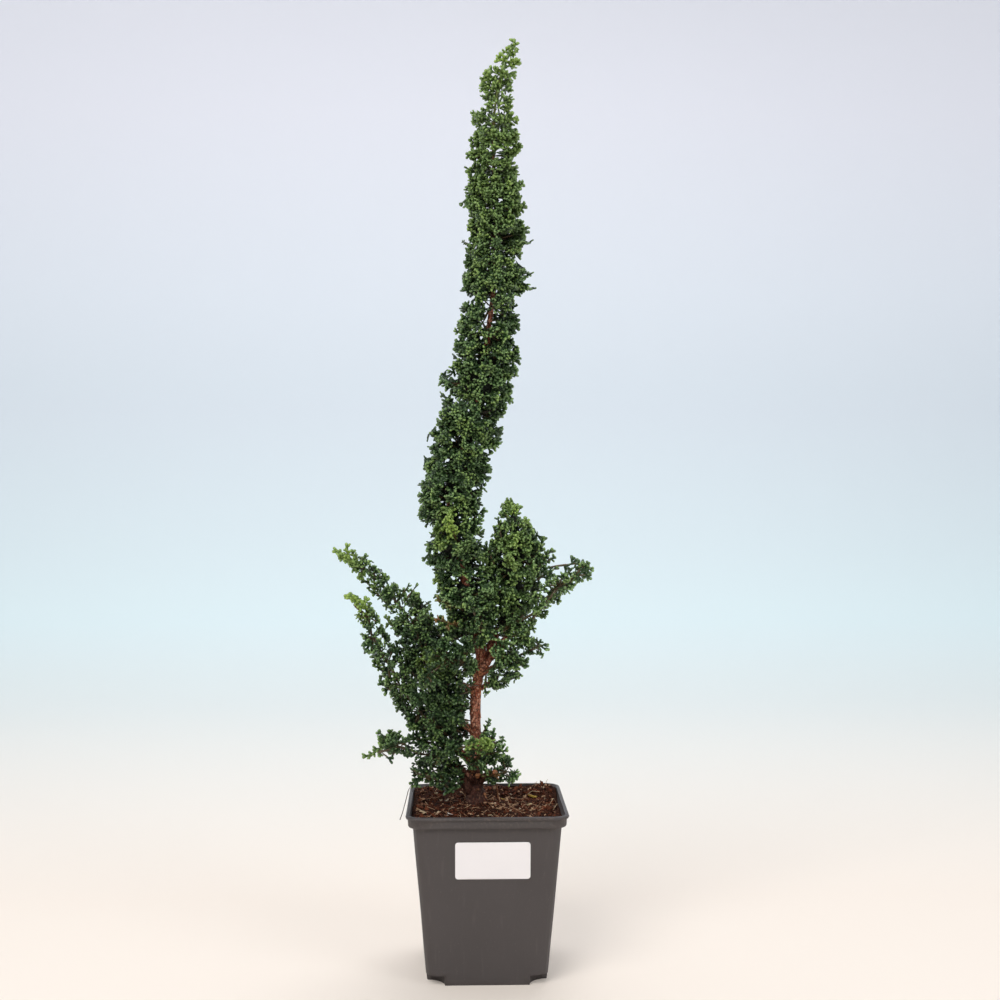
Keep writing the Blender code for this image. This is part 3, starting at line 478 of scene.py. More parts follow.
def litter_finish():
    finish = Finish("dry_litter", roughness=0.62)
    tone = finish.read("tone")
    grain = finish.noise(0.8 * MM, 4.0)
    yellow = finish.mix(grain, (0.42, 0.25, 0.035), (0.72, 0.52, 0.10))
    straw = finish.mix(grain, (0.38, 0.25, 0.13), (0.62, 0.50, 0.33))
    white = finish.mix(grain, (0.66, 0.60, 0.52), (0.88, 0.85, 0.80))
    base = finish.mix(finish.ramp(tone, 0.35, 0.65), yellow, straw)
    base = finish.mix(finish.ramp(tone, 0.80, 0.95), base, white)
    finish.colour(finish.mix(finish.ramp(tone, -0.2, -0.6), base, (0.055, 0.040, 0.029)))
    finish.bump(grain, 0.2 * MM, 0.6)
    return finish.material


def lay_strand(bm, points, wide):
    """A thin closed tube through the given points."""
    rings = []
    for number, point in enumerate(points):
        before, after = points[max(0, number - 1)], points[min(len(points) - 1, number + 1)]
        turn = (after - before).to_track_quat("Z", "Y").to_matrix().to_4x4()
        ring = bmesh.ops.create_circle(
            bm, segments=5, radius=wide / 2, cap_ends=number in (0, len(points) - 1),
            matrix=Matrix.Translation(point) @ turn)["verts"]
        edges = dict.fromkeys(edge for vert in ring for edge in vert.link_edges)
        rings.append([edge for edge in edges if edge.verts[0] in ring and edge.verts[1] in ring])
    for low, high in zip(rings, rings[1:]):
        bmesh.ops.bridge_loops(bm, edges=low + high)


def make_litter():
    material = litter_finish()
    bm = bmesh.new()
    for points, wide in STRANDS:
        lay_strand(bm, [Vector(point) * MM for point in points], wide * MM)
    bmesh.ops.recalc_face_normals(bm, faces=bm.faces)
    strands = new_piece("root_threads", bm, material)
    set_tone(strands.data, STRAND_TONE)
    bm = bmesh.new()
    lay_strand(bm, [Vector(point) * MM for point in HAIR], HAIR_WIDE * MM)
    bmesh.ops.recalc_face_normals(bm, faces=bm.faces)
    hair = new_piece("root_hair", bm, material)
    set_tone(hair.data, HAIR_TONE)
    rng = random.Random(13)
    shapes = [chip_shape(rng, 1) for number in range(4)]
    places = []
    for number, (place, size, turn, tone) in enumerate(FALLEN):
        place = Vector(place) * MM
        place.z = ground_at(ground, place.x, place.y) + FALLEN_LIFT
        matrix = (
            Matrix.Translation(place) @ Matrix.Rotation(math.radians(turn), 4, "Z")
            @ Matrix.Rotation(0.35, 4, "Y") @ Matrix.Diagonal((*(Vector(size) * MM), 1.0)))
        places.append((number % len(shapes), matrix, tone))
    strewn("fallen_bits", places, shapes, material)


make_litter()


# Trunk. The wood grew as one piece: a knobby foot, a winding stem and a few limbs, in
# thin reddish-brown bark that peels in narrow strips; near the leader it is still green.
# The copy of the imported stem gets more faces, furrows and a coat of half-peeled strips.

BARK_DEPTH = 0.55 * MM
KNOB_RISE = 2.3 * MM
STUBS = (
    ((-10, 6, 128), (-22, 3, 146), 7.0, 0.0), ((-8, 3, 131), (-14, -6, 141), 3.8, 0.0),
    ((-5, 4, 131), (3, -3, 142), 4.6, 0.0), ((-7, 3, 136), (-5.6, -5, 139.5), 3.6, 0.9),
    ((-11, 5, 122), (-17, 2, 138), 8.0, 0.0), ((9.6, 18.7, 113), (8.0, 18.2, 128), 1.3, 0.5),
    ((5.2, -11, 140.6), (6.8, -12, 144.0), 3.8, 0.45))
BARK_FROM = 112 * MM
RIDGE_SPAN = 2.2 * MM
KNOB_SPAN = 6.5 * MM
KNOB_FADE = (140 * MM, 120 * MM)
THIN_FADE = (520 * MM, 220 * MM)
FOOT_DARK_FADE = (152 * MM, 134 * MM)
GREEN_FROM = 540 * MM
GREEN_TO = 630 * MM
PEEL_COUNT = 820
PEEL_TO = 232 * MM
PEEL_LIFT = 0.12 * MM
PEEL_THICK = 0.22 * MM
PEEL_LENGTHS = (1.0, 1.4, 1.8, 3.2)
PEEL_TONES = (0.0, 0.15, 0.3, 0.6, 1.0)


def bark_finish():
    finish = Finish("cypress_bark", roughness=0.70, Specular_IOR_Level=0.25)
    tone = finish.read("tone")
    height = finish.axes(finish.place)[2]
    strips = finish.noise(1.2 * MM, 5.0, (1, 1, 0.22))
    patches = finish.noise(6.0 * MM, 3.0, (1, 1, 0.5))
    flake = finish.cells(1.3 * MM, (1, 1, 0.8))
    edge = finish.cells(1.3 * MM, (1, 1, 0.8), "Distance")
    old = finish.mix(strips, (0.068, 0.013, 0.007), (0.53, 0.150, 0.075))
    grey = finish.mix(strips, (0.120, 0.038, 0.024), (0.58, 0.230, 0.145))
    base = finish.mix(finish.ramp(patches, 0.42, 0.60), old, grey)
    base = finish.over(base, finish.ramp(flake, 0.50, 0.80), 0.7, (0.74, 0.40, 0.27))
    base = finish.over(base, finish.ramp(edge, 0.45, 0.75), 0.8, (0.025, 0.009, 0.006))
    # The bark gets darker towards the foot.
    base = finish.over(base, finish.ramp(height, *FOOT_DARK_FADE), 0.84, (0.022, 0.0075, 0.005))
    base = finish.over(base, tone, 0.75, (0.66, 0.29, 0.13))
    green = finish.ramp(height, GREEN_FROM, GREEN_TO)
    base = finish.mix(green, base, finish.mix(strips, (0.06, 0.08, 0.022), (0.18, 0.22, 0.06)))
    finish.colour(base)
    rough = finish.maths("SUBTRACT", strips, finish.times(edge, 0.8))
    finish.bump(rough, 0.7 * MM, 0.9)
    return finish.material


def make_trunk(material):
    bm = merged_copy("trunk")
    bmesh.ops.subdivide_edges(bm, edges=bm.edges[:], cuts=2, use_grid_fill=True, smooth=0.4)
    bm.normal_update()
    for vert in bm.verts:
        if vert.co.z < BARK_FROM:
            continue
        foot = share_of(vert.co.z, *KNOB_FADE)
        ridge = noise.noise(Vector((vert.co.x, vert.co.y, vert.co.z * 0.2)) / RIDGE_SPAN)
        knob = noise.noise(vert.co / KNOB_SPAN)
        thin = max(0.15, share_of(vert.co.z, *THIN_FADE))
        vert.co += vert.normal * (ridge * BARK_DEPTH * thin + knob * foot * KNOB_RISE)
    bmesh.ops.triangulate(bm, faces=[face for face in bm.faces if len(face.verts) > 4])
    piece = new_piece("bark_stem", bm, material)
    set_tone(piece.data, 0.0)
    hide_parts("trunk")
    return piece


def square_to(axis, direction):
    """The part of a direction that is square to an axis, of length 1."""
    return (direction - axis * direction.dot(axis)).normalized()


def peel_shape(rng):
    """A narrow strip of bark curling off at one end."""
    bm = bmesh.new()
    bmesh.ops.create_cube(bm, size=1.0)
    long_edges = [edge for edge in bm.edges if abs(edge.verts[0].co.z - edge.verts[1].co.z) > 0.5]
    bmesh.ops.subdivide_edges(bm, edges=long_edges, cuts=3)
    curl = rng.uniform(0.5, 1.6)
    for vert in bm.verts:
        rise = vert.co.z + 0.5
        vert.co.x *= 1 - 0.45 * rise + rng.uniform(-0.08, 0.08)
        vert.co.y += curl * rise ** 2 * 2.2
    return mesh_of("peel", bm)


def make_peels(stem, material):
    rng = random.Random(9)
    shapes = [peel_shape(rng) for number in range(6)]
    faces = [face for face in stem.data.polygons
             if BARK_FROM < face.center.z < PEEL_TO and abs(face.normal.z) < 0.7]
    places = []
    for number in range(PEEL_COUNT):
        face = rng.choice(faces)
        out = face.normal.normalized()
        up = Vector((rng.gauss(0, 0.15), rng.gauss(0, 0.15), rng.choice((1, 1, -1))))
        up = square_to(out, up)
        turn = Matrix((out.cross(up) * -1, out, up)).transposed().to_4x4()
        wide = rng.uniform(0.8, 1.6) * MM
        long = rng.choice(PEEL_LENGTHS) * rng.uniform(0.8, 1.2) * MM
        size = Matrix.Diagonal((wide, PEEL_THICK, long, 1.0))
        matrix = Matrix.Translation(face.center + out * PEEL_LIFT) @ turn @ size
        places.append((rng.randrange(len(shapes)), matrix, rng.choice(PEEL_TONES)))
    strewn("bark_peels", places, shapes, material)


def make_stubs(material):
    """Stubs of cut twigs on the knobby foot, one thin sucker and one dry round bud."""
    bm = bmesh.new()
    for start, end, wide, tone in STUBS:
        start, end = Vector(start) * MM, Vector(end) * MM
        stub = bmesh.new()
        bmesh.ops.create_icosphere(stub, subdivisions=3, radius=1.0)
        turn = (end - start).to_track_quat("Z", "Y").to_matrix().to_4x4()
        size = Matrix.Diagonal((wide / 2 * MM, wide / 2 * MM, (end - start).length / 2, 1.0))
        bmesh.ops.transform(
            stub, verts=stub.verts, matrix=Matrix.Translation((start + end) / 2) @ turn @ size)
        for vert in stub.verts:
            vert.co += vert.normal * noise.noise(vert.co / RIDGE_SPAN) * min(0.8, wide * 0.16) * MM
        one = mesh_of("stub", stub)
        set_tone(one, tone)
        add_mesh(bm, one)
    new_piece("bark_stubs", bm, material)


bark = bark_finish()
stem = make_trunk(bark)
make_peels(stem, bark)
make_stubs(bark)


# Leafy shoots. Every shoot is living twig clothed in small, thick, blunt scale leaves
# that lie in flat fans, and it grew where it stands. Each packed shoot's blunt fingers
# and thin fans give the place, heading and plane of the sprays that stand in for them.

FINGER_LONG = 4.8 * MM
FINGER_WIDE = 2.45 * MM
FINGER_THICK = 1.45 * MM
FINGER_RINGS = ((0.38, 0.88), (0.86, 0.96))
STALK_WIDE = 2.1 * MM
NODE_STEP = 2.6 * MM
SIDE_SPREAD = math.radians(42)
SPRAY_LENGTHS = (6.5, 9.0, 12.0, 15.5, 20.0)
SPRAY_KINDS = 4
TIP_ANGLE = math.radians(115)
TIP_WIDE_FROM = 0.4 * MM
FAN_THICK_TO = 0.95 * MM
FAN_FACE_FROM = 1e-6
FILL_AREA = 36
FILL_FROM = 2.5 * MM
FILL_SHORT = 5.0 * MM
FILL_LONG = 11 * MM
FILL_DROOP = Vector((0, 0, -0.40))
CORE_SHARE = 0.42
CORE_SPAN = 4 * MM
CORE_SPRAY = 6.0 * MM
COLUMN_FAN_SHARE = 0.76
STEM_WIDE = 2.0 * MM
TWIG_WIDE = 1.3 * MM
LOOSE_TWIG_WIDE = 1.7 * MM
END_TWIG_WIDE = 1.5 * MM
LEADER_WIDE = 2.4 * MM
SINK = 0.8 * MM
SLIM_ENDS = (
    ((-109, -13, 303), 22), ((-101, -21, 267), 20), ((-94, -8, 148), 22), ((-60, -10, 138), 12))
CUT_BACK = (
    (-107, 302, 14), (-99, 270, 11), (-84, 155, 11), (-60, 141, 7), (-78, 168, 5), (-47, 313, 9),
    (54, 261, 8), (46, 231, 7), (22, 199, 6), (14, 158, 4), (10, 171, 4), (34.7, 491, 4),
    (31.8, 522, 4), (3.5, 486, 4.5), (3.5, 479, 4), (3.0, 471, 4), (2.5, 464, 3.5), (-11, 480, 3),
    (8, 487, 3), (-2, 396, 3))
END_SPRAYS = (
    ((-88, -13, 290), (-99, -13, 296.5)), ((-97, -13, 295.4), (-110.9, -13, 302.7)),
    ((-98, -13, 296.5), (-102.6, -14, 306.5)), ((-93.5, -13, 293), (-94.7, -12, 303.2)),
    ((-90, -13, 291), (-88.3, -12, 300.5)), ((-100, -13, 296.5), (-106.4, -12, 297.3)),
    ((-96, -13, 295), (-103.1, -14, 294.3)), ((-92, -13, 292), (-98.8, -12, 291.2)),
    ((-86, -13, 288), (-93.8, -13, 282.6)), ((-84, -20, 259), (-89.5, -21, 266.5)),
    ((-88, -21, 265.5), (-96, -21, 270.5)), ((-93, -21, 269.6), (-101.5, -21, 271.4)),
    ((-94, -21, 269.8), (-100.2, -22, 267.6)), ((-90.5, -21, 267.8), (-96.4, -20, 265.7)),
    ((-86.5, -21, 263.5), (-92.6, -22, 262)), ((-87, -20, 264), (-86.1, -20, 270)),
    ((-85, -20, 261), (-81.7, -19, 265)), ((-66, -8, 163), (-74, -8, 160)),
    ((-72, -8, 160.8), (-81.5, -8, 155.8)), ((-79.5, -8, 157), (-88.5, -8, 150.4)),
    ((-69, -8, 162), (-78, -9, 162)), ((-66, -8, 163), (-72, -8, 169)),
    ((-70, -8, 161), (-70, -9, 154.5)), ((-76, -8, 158.5), (-78, -9, 153)))
LEADER_TOP = 672 * MM
LEADER_SIDE = 0.55
LEADER_FANS_TO = 655 * MM
LEADER_STALK = ((10.7, 640), (13.7, 657), (17.7, 664.3), (20.1, 668.5))
LEADER_SPRAYS = (
    ((20.1, 667.5), (21.3, 674.0)), ((17.7, 664.0), (14.6, 668.0)), ((17.7, 663.8), (23.3, 664.6)),
    ((13.6, 656.9), (6.9, 661.8)), ((14.0, 657.4), (22.2, 656.6)), ((10.9, 647.2), (0.6, 651.3)),
    ((12.6, 649.5), (22.2, 646.8)), ((11.5, 641.0), (18.0, 644.4)), ((9.0, 638.0), (-5.6, 638.2)),
    ((8.0, 636.5), (0.8, 643.8)))
LOWER = [f"column_shoot_{number:02d}" for number in range(1, 6)]
UPPER = [f"column_shoot_{number:02d}" for number in range(6, 11)]
BOUGHS = ("left_upper_shoot", "left_lower_shoot")
DENSE = (*LOWER, "right_crown_shoot", "left_middle_shoot")
FILL_AREAS = {
    **dict.fromkeys((*LOWER, "right_crown_shoot"), 60), **dict.fromkeys(UPPER, 47),
    "column_shoot_11": 150, **dict.fromkeys(BOUGHS, 30)}


def finger_shape():
    """A blunt leaf finger of length 1 along +Y and full width 1, thickest in its middle."""
    bm = bmesh.new()
    bmesh.ops.create_uvsphere(bm, u_segments=4, v_segments=3, radius=1.0)
    bmesh.ops.rotate(bm, verts=bm.verts, matrix=Matrix.Rotation(math.radians(-90), 3, "X"))
    for vert in bm.verts:
        if abs(vert.co.y) > 0.9:
            vert.co = (0, 0.0 if vert.co.y < 0 else 1.0, 0)
        else:
            along, wide = FINGER_RINGS[0 if vert.co.y < 0 else 1]
            flat = Vector((vert.co.x, 0, vert.co.z)).normalized() * wide * 0.5
            vert.co = (flat.x, along, flat.z)
    return mesh_of("finger", bm)


def heading_of(angle):
    return Vector((-math.sin(angle), math.cos(angle), 0))


def add_branchlet(fingers, rng, start, angle, length, forks):
    """A branchlet of a flat spray: a leafy stalk, alternate side branchlets, a blunt end."""
    point = start.copy()
    side = rng.choice((-1, 1))
    done = 0.0
    while length - done > FINGER_LONG * 0.8:
        step = NODE_STEP * rng.uniform(0.85, 1.15)
        fingers.append((point.copy(), angle, step * 1.9, STALK_WIDE, 0.0))
        point += heading_of(angle) * step
        done += step
        rest = length - done
        reach = max(rest * 0.72, FINGER_LONG * 0.8)
        if forks:
            spread = SIDE_SPREAD * rng.uniform(0.8, 1.15)
            add_branchlet(fingers, rng, point, angle + side * spread, reach, forks - 1)
        else:
            spread = SIDE_SPREAD * rng.uniform(0.75, 1.1)
            fingers.append((
                point.copy(), angle + side * spread, FINGER_LONG * rng.uniform(0.75, 1.0),
                FINGER_WIDE * rng.uniform(0.85, 1.1), 0.75))
        side = -side
        angle += rng.gauss(0, 0.07)
    fingers.append((
        point, angle, FINGER_LONG * rng.uniform(0.9, 1.15),
        FINGER_WIDE * rng.uniform(0.95, 1.15), 1.0))


def spray_shape(rng, length, finger, forks):
    """A flat spray growing along +Y, cupped a little, as one mesh of closed fingers."""
    fingers = []
    add_branchlet(fingers, rng, Vector((0, 0, 0)), 0.0, length, forks)
    cup = rng.uniform(-0.012, 0.022) / MM
    bm = bmesh.new()
    values = []
    for base, angle, long, wide, tip in fingers:
        one = finger.copy()
        thick = FINGER_THICK * rng.uniform(0.85, 1.15) * (0.85 if tip == 0.0 else 1.0)
        lift = rng.gauss(0, 0.16) + (0.0 if tip == 0.0 else 0.08)
        values += [(vert.co.y, vert.co.x * 2, tip) for vert in one.vertices]
        one.transform(
            Matrix.Translation(base) @ Matrix.Rotation(angle, 4, "Z")
            @ Matrix.Rotation(lift, 4, "X") @ Matrix.Rotation(rng.gauss(0, 0.22), 4, "Y")
            @ Matrix.Diagonal((wide, long, thick, 1.0)))
        add_mesh(bm, one)
    trim = length / max(vert.co.y for vert in bm.verts)
    for vert in bm.verts:
        vert.co.y *= trim
        vert.co.z += cup * (vert.co.x ** 2 - 0.4 * vert.co.y ** 2)
    mesh = mesh_of("spray", bm)
    layer = mesh.attributes.new("leaf", "FLOAT_VECTOR", "POINT")
    layer.data.foreach_set("vector", [number for value in values for number in value])
    return mesh


def spray_family(rng, finger, forks):
    """Several spray shapes for each length class; without forks they are narrow feathers."""
    return [[spray_shape(rng, length * MM, finger, forks) for kind in range(SPRAY_KINDS)]
            for length in SPRAY_LENGTHS]


def is_cut_back(place):
    """Whether a place lies beyond the slim grown end of a shoot that is packed wider."""
    return any(
        math.hypot(place.x - x * MM, place.z - z * MM) < reach * MM for x, z, reach in CUT_BACK)


def packed_tips(bm):
    """The tip, heading, width direction and length of each finger of a packed shoot."""
    tips = []
    for edge in bm.edges:
        if edge.calc_face_angle_signed(0.0) < TIP_ANGLE or edge.calc_length() < TIP_WIDE_FROM:
            continue
        across = (edge.verts[1].co - edge.verts[0].co).normalized()
        heading = square_to(across, edge.link_faces[0].normal + edge.link_faces[1].normal)
        tip = (edge.verts[0].co + edge.verts[1].co) / 2
        around = {vert for face in edge.link_faces for vert in face.verts}
        length = max((tip - vert.co).dot(heading) for vert in around)
        tips.append((tip, heading, across, length))
    return tips


def packed_fans(bm):
    """The face centres of each thin fan of a packed shoot, fan by fan."""
    tree = BVHTree.FromBMesh(bm)
    thin = set()
    for face in bm.faces:
        centre = face.calc_center_median()
        hit = tree.ray_cast(centre - face.normal * 0.02 * MM, -face.normal, 1.2 * MM)
        if hit[0] is not None and hit[3] < FAN_THICK_TO and face.calc_area() > FAN_FACE_FROM:
            thin.add(face.index)
    fans = []
    bm.faces.ensure_lookup_table()
    while thin:
        queue = [thin.pop()]
        fan = []
        while queue:
            face = bm.faces[queue.pop()]
            fan.append(face)
            for vert in face.verts:
                for other in vert.link_faces:
                    if other.index in thin:
                        thin.discard(other.index)
                        queue.append(other.index)
        if len(fan) >= 4:
            fans.append([vert.co.copy() for face in fan for vert in face.verts])
    return fans


def fan_frame(points, spine_point):
    """The inner end, heading, normal and length of a fan from its points."""
    cloud = np.array(points)
    middle = cloud.mean(axis=0)
    turned = np.linalg.svd(cloud - middle, full_matrices=False)[2]
    normal = Vector(turned[2])
    middle = Vector(middle)
    heading = square_to(normal, middle - spine_point)
    along = [(Vector(point) - middle).dot(heading) for point in points]
    return middle + heading * min(along), heading, normal, max(along) - min(along)


def spine_of(points, parts, upright):
    """Centres of a shoot's finger roots, group by group along its longest direction."""
    cloud = np.array(points)
    middle = cloud.mean(axis=0)
    axis = np.linalg.svd(cloud - middle, full_matrices=False)[2][0]
    axis = np.array((0, 0, 1)) if upright else axis if axis[2] > 0 else -axis
    order = np.argsort((cloud - middle) @ axis)
    return [Vector(cloud[group].mean(axis=0)) for group in np.array_split(order, parts)]


def add_tinted(bm, one, tint):
    """Moves a small mesh of one tint (tone, fresh, dead) into a bmesh."""
    layer = one.attributes.new("tint", "FLOAT_VECTOR", "POINT")
    layer.data.foreach_set("vector", tint * len(one.vertices))
    add_mesh(bm, one)


def lay_spray(bm, rng, family, start, heading, normal, reach, tint):
    """Adds a spray of about the given reach that grows from start in a given plane."""
    kinds = range(len(SPRAY_LENGTHS))
    kind = min(kinds, key=lambda number: abs(SPRAY_LENGTHS[number] * MM - reach))
    along = heading.normalized()
    up = square_to(along, normal)
    turn = Matrix((along.cross(up), along, up)).transposed().to_4x4()
    size = Matrix.Scale(reach / (SPRAY_LENGTHS[kind] * MM), 4)
    one = rng.choice(family[kind]).copy()
    one.transform(Matrix.Translation(start) @ turn @ size)
    add_tinted(bm, one, tint)


def lay_twig(bm, finger, start, end, wide, tint):
    """A thin woody twig from start to end."""
    one = finger.copy()
    along = end - start
    turn = along.to_track_quat("Y", "Z").to_matrix().to_4x4()
    size = Matrix.Diagonal((wide, along.length, wide, 1.0))
    one.transform(Matrix.Translation(start) @ turn @ size)
    add_tinted(bm, one, tint)


def wood_tint(place):
    """Twigs are brown below and still green near the leader."""
    return (-0.5, share_of(place.z, GREEN_FROM, GREEN_TO), 0.0)


def lay_leader(bm, rng, family, finger):
    """The leader's soft green stalk and its sprays, each with two more to the other sides."""
    for (x, z), (next_x, next_z) in zip(LEADER_STALK, LEADER_STALK[1:]):
        start, end = Vector((x, 0, z)) * MM, Vector((next_x, 0, next_z)) * MM
        lap = (end - start) * 0.3
        lay_twig(bm, finger, start - lap, end + lap, LEADER_WIDE, wood_tint(start))
    for (x, z), (end_x, end_z) in LEADER_SPRAYS:
        start, end = Vector((x, 0, z)) * MM, Vector((end_x, 0, end_z)) * MM
        for turn, share in ((0.0, 1.0), (1.0, 0.72), (-1.0, 0.66)):
            spin = Matrix.Rotation(turn * rng.uniform(1.2, 1.9), 3, "Z")
            course = spin @ (end - start).normalized()
            normal = spin @ Matrix.Rotation(rng.gauss(0, 0.5), 3, "Z") @ Vector((0, -1, 0.3))
            fresh, dead = tinted(end, rng)
            lay_spray(
                bm, rng, family, start - course * SINK, course, normal,
                (end - start).length * share + 1.0 * MM, (rng.uniform(0.3, 1.0), fresh, dead))


def lay_ends(bm, rng, feathers, finger):
    """The slim ends of the boughs: narrow feathers, each with a shorter one across it."""
    for start, end in END_SPRAYS:
        start, end = Vector(start) * MM, Vector(end) * MM
        course = (end - start).normalized()
        fresh, dead = tinted(end, rng)
        lay_twig(
            bm, finger, start - course * 2.0 * MM, start.lerp(end, 0.7), END_TWIG_WIDE,
            (-0.5, max(0.4, fresh), dead))
        for turn, share in ((0.0, 1.0), (1.0, 0.75)):
            normal = Matrix.Rotation(turn * rng.uniform(0.9, 1.5), 3, course) @ Vector((0, -1, 0.3))
            lay_spray(
                bm, rng, feathers, start - course * SINK, course, normal,
                (end - start).length * share + 0.8 * MM, (rng.uniform(0.4, 1.0), fresh, dead))


def cover_core(bm, rng, family, points, spine):
    """Short dark sprays on the inside of a dense shoot."""
    for point in points:
        middle, axis = spine_near(spine, point)
        for number in range(2):
            out = Matrix.Rotation(rng.uniform(-0.5, 0.5), 3, axis) @ (point - middle)
            start = middle + axis * rng.uniform(-4, 4) * MM + out * CORE_SHARE * 0.75
            course = (out.normalized() + axis * rng.uniform(0.2, 1.1)).normalized()
            roll = Matrix.Rotation(rng.uniform(-1.5, 1.5), 3, course)
            normal = roll @ course.cross(axis.cross(out))
            lay_spray(bm, rng, family, start, course, normal, CORE_SPRAY, (0.0, 0.0, 0.0))


def lay_core(bm, points, spine):
    """The dark inside of a dense shoot: lumps standing for the old twigs within its finger roots,
    near black as painted shadow.
    """
    for number in range(len(spine) - 1):
        low, high = spine[number], spine[number + 1]
        axis = (high - low).normalized()
        near = [point for point in points
                if -0.6 < (point - low).dot(axis) / (high - low).length < 1.6]
        if len(near) < 5:
            continue
        lump = bmesh.new()
        for point in near:
            middle = low + axis * (point - low).dot(axis)
            lump.verts.new(middle + (point - middle) * CORE_SHARE)
        bmesh.ops.convex_hull(lump, input=lump.verts)
        inner = [vert for vert in lump.verts if not vert.link_faces]
        bmesh.ops.delete(lump, geom=inner, context="VERTS")
        bmesh.ops.subdivide_edges(lump, edges=lump.edges[:], cuts=1, use_grid_fill=True)
        bmesh.ops.triangulate(lump, faces=lump.faces[:])
        lump.normal_update()
        for vert in lump.verts:
            vert.co += vert.normal * noise.noise(vert.co / CORE_SPAN) * 1.5 * MM
        # This tint makes the leaf material paint the lump near black: painted shadow inside the
        # shoot.
        add_tinted(bm, mesh_of("core", lump), (-1.0, 0.0, 0.0))


def nearest(points, place):
    return min(points, key=lambda point: (point - place).length)


def spine_near(spine, place):
    """The nearest point of a spine to a place, and the spine's direction there."""
    best = None
    for low, high in zip(spine, spine[1:]):
        point, share = intersect_point_line(place, low, high)
        point = low.lerp(high, share_of(share, 0.0, 1.0))
        if best is None or (place - point).length < (place - best[0]).length:
            best = (point, (high - low).normalized())
    return best


def fill_shoot(bm, rng, family, packed, spine, share_area, rising):
    """Short sprays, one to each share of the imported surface, between its fingers."""
    faces = packed.faces[:]
    areas = [face.calc_area() for face in faces]
    for face in rng.choices(faces, weights=areas, k=int(sum(areas) / share_area)):
        shares = [rng.random() + 0.1 for vert in face.verts]
        place = sum((vert.co * share for vert, share in zip(face.verts, shares)), Vector())
        place = place / sum(shares)
        middle, axis = spine_near(spine, place)
        out = place - middle
        if out.length < FILL_FROM or is_cut_back(place):
            continue
        stray = Vector([rng.gauss(0, 0.3) for side in range(3)])
        round_axis = axis.cross(out).normalized() * rng.uniform(-0.9, 0.9)
        lean = axis * 0.5 if rising else FILL_DROOP
        course = (out.normalized() * 0.65 + lean + round_axis + stray).normalized()
        normal = Matrix.Rotation(rng.gauss(0, 0.7), 3, course) @ course.cross(axis.cross(out))
        length = min(FILL_LONG, max(FILL_SHORT, out.length * rng.uniform(0.5, 0.75)))
        fresh, dead = tinted(place, rng)
        lay_spray(
            bm, rng, family, place - course * length * 0.92, course, normal, length,
            (tone_and_shade_at(place, rng), fresh, dead))


def make_shoot(node, family, finger, material):
    """One fine piece in place of a packed shoot."""
    rng = random.Random(node)
    packed = merged_copy(node)
    packed.normal_update()
    tips = packed_tips(packed)
    fans = packed_fans(packed)
    roots = [tip - heading * length for tip, heading, across, length in tips]
    upright = node.startswith(("column", "leader"))
    spine = spine_of(roots, max(3, min(9, len(roots) // 8)), upright)
    bm = bmesh.new()
    if node in DENSE:
        lay_core(bm, roots, spine)
        cover_core(bm, rng, family, roots[::3], spine)
    if node == "leader_shoot":
        lay_leader(bm, rng, family, finger)
    for (tip, heading, across, length), root in zip(tips, roots):
        if node == "leader_shoot" and (abs(heading.y) < LEADER_SIDE or tip.z > LEADER_TOP):
            continue
        if is_cut_back(tip):
            continue
        tone = tone_and_shade_at(tip, rng)
        fresh, dead = tinted(tip, rng)
        tint = (tone, fresh, dead)
        plane = heading.cross(across).normalized()
        roll = Matrix.Rotation(rng.gauss(0, 0.35), 3, heading)
        start = root - heading * 2.0 * MM
        slim = any((tip - Vector(end) * MM).length < reach * MM for end, reach in SLIM_ENDS)
        reach = length * 0.85 if slim else length + 1.4 * MM
        lay_spray(bm, rng, family, start, heading, roll @ plane, reach, tint)
        for side in () if slim else (-1, 1):
            turn = Matrix.Rotation(side * rng.uniform(0.8, 1.5), 3, heading)
            normal = turn @ plane
            lean = Matrix.Rotation(rng.gauss(0, 0.45), 3, normal)
            tilt = Matrix.Rotation(side * rng.uniform(0.1, 0.55), 3, across)
            course = lean @ (tilt @ heading)
            begin = root + heading * rng.uniform(-1.5, 0.3 * length / MM) * MM
            reach = (length + 1.6 * MM) * rng.uniform(0.45, 0.7)
            side_tone = share_of(tone + rng.gauss(0, 0.2), 0.0, 1.0)
            lay_spray(bm, rng, family, begin, course, normal, reach, (side_tone, fresh, dead))
        lay_twig(
            bm, finger, nearest(spine, root), root + heading * 1.0 * MM, TWIG_WIDE,
            wood_tint(root))
    for points in fans:
        middle = sum(points, Vector()) / len(points)
        start, heading, normal, length = fan_frame(points, nearest(spine, middle))
        if is_cut_back(start + heading * length * 0.8):
            continue
        if node == "leader_shoot" and start.z > LEADER_FANS_TO:
            continue
        fresh, dead = tinted(start + heading * length, rng)
        lay_spray(
            bm, rng, family, start - heading * 1.5 * MM, heading, normal,
            length * (COLUMN_FAN_SHARE if node.startswith("column") else 1.0) + 1.5 * MM,
            (tone_and_shade_at(start, rng), fresh, dead))
    share_area = FILL_AREAS.get(node, FILL_AREA) * MM * MM
    if node != "leader_shoot":
        fill_shoot(bm, rng, family, packed, spine, share_area, node in BOUGHS)
    packed.free()
    for low, high in zip(spine, spine[1:]):
        lap = (high - low) * 0.2
        lay_twig(bm, finger, low - lap, high + lap, STEM_WIDE, wood_tint(low))
    piece = new_piece(node + "_sprays", bm, material)
    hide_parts(node)


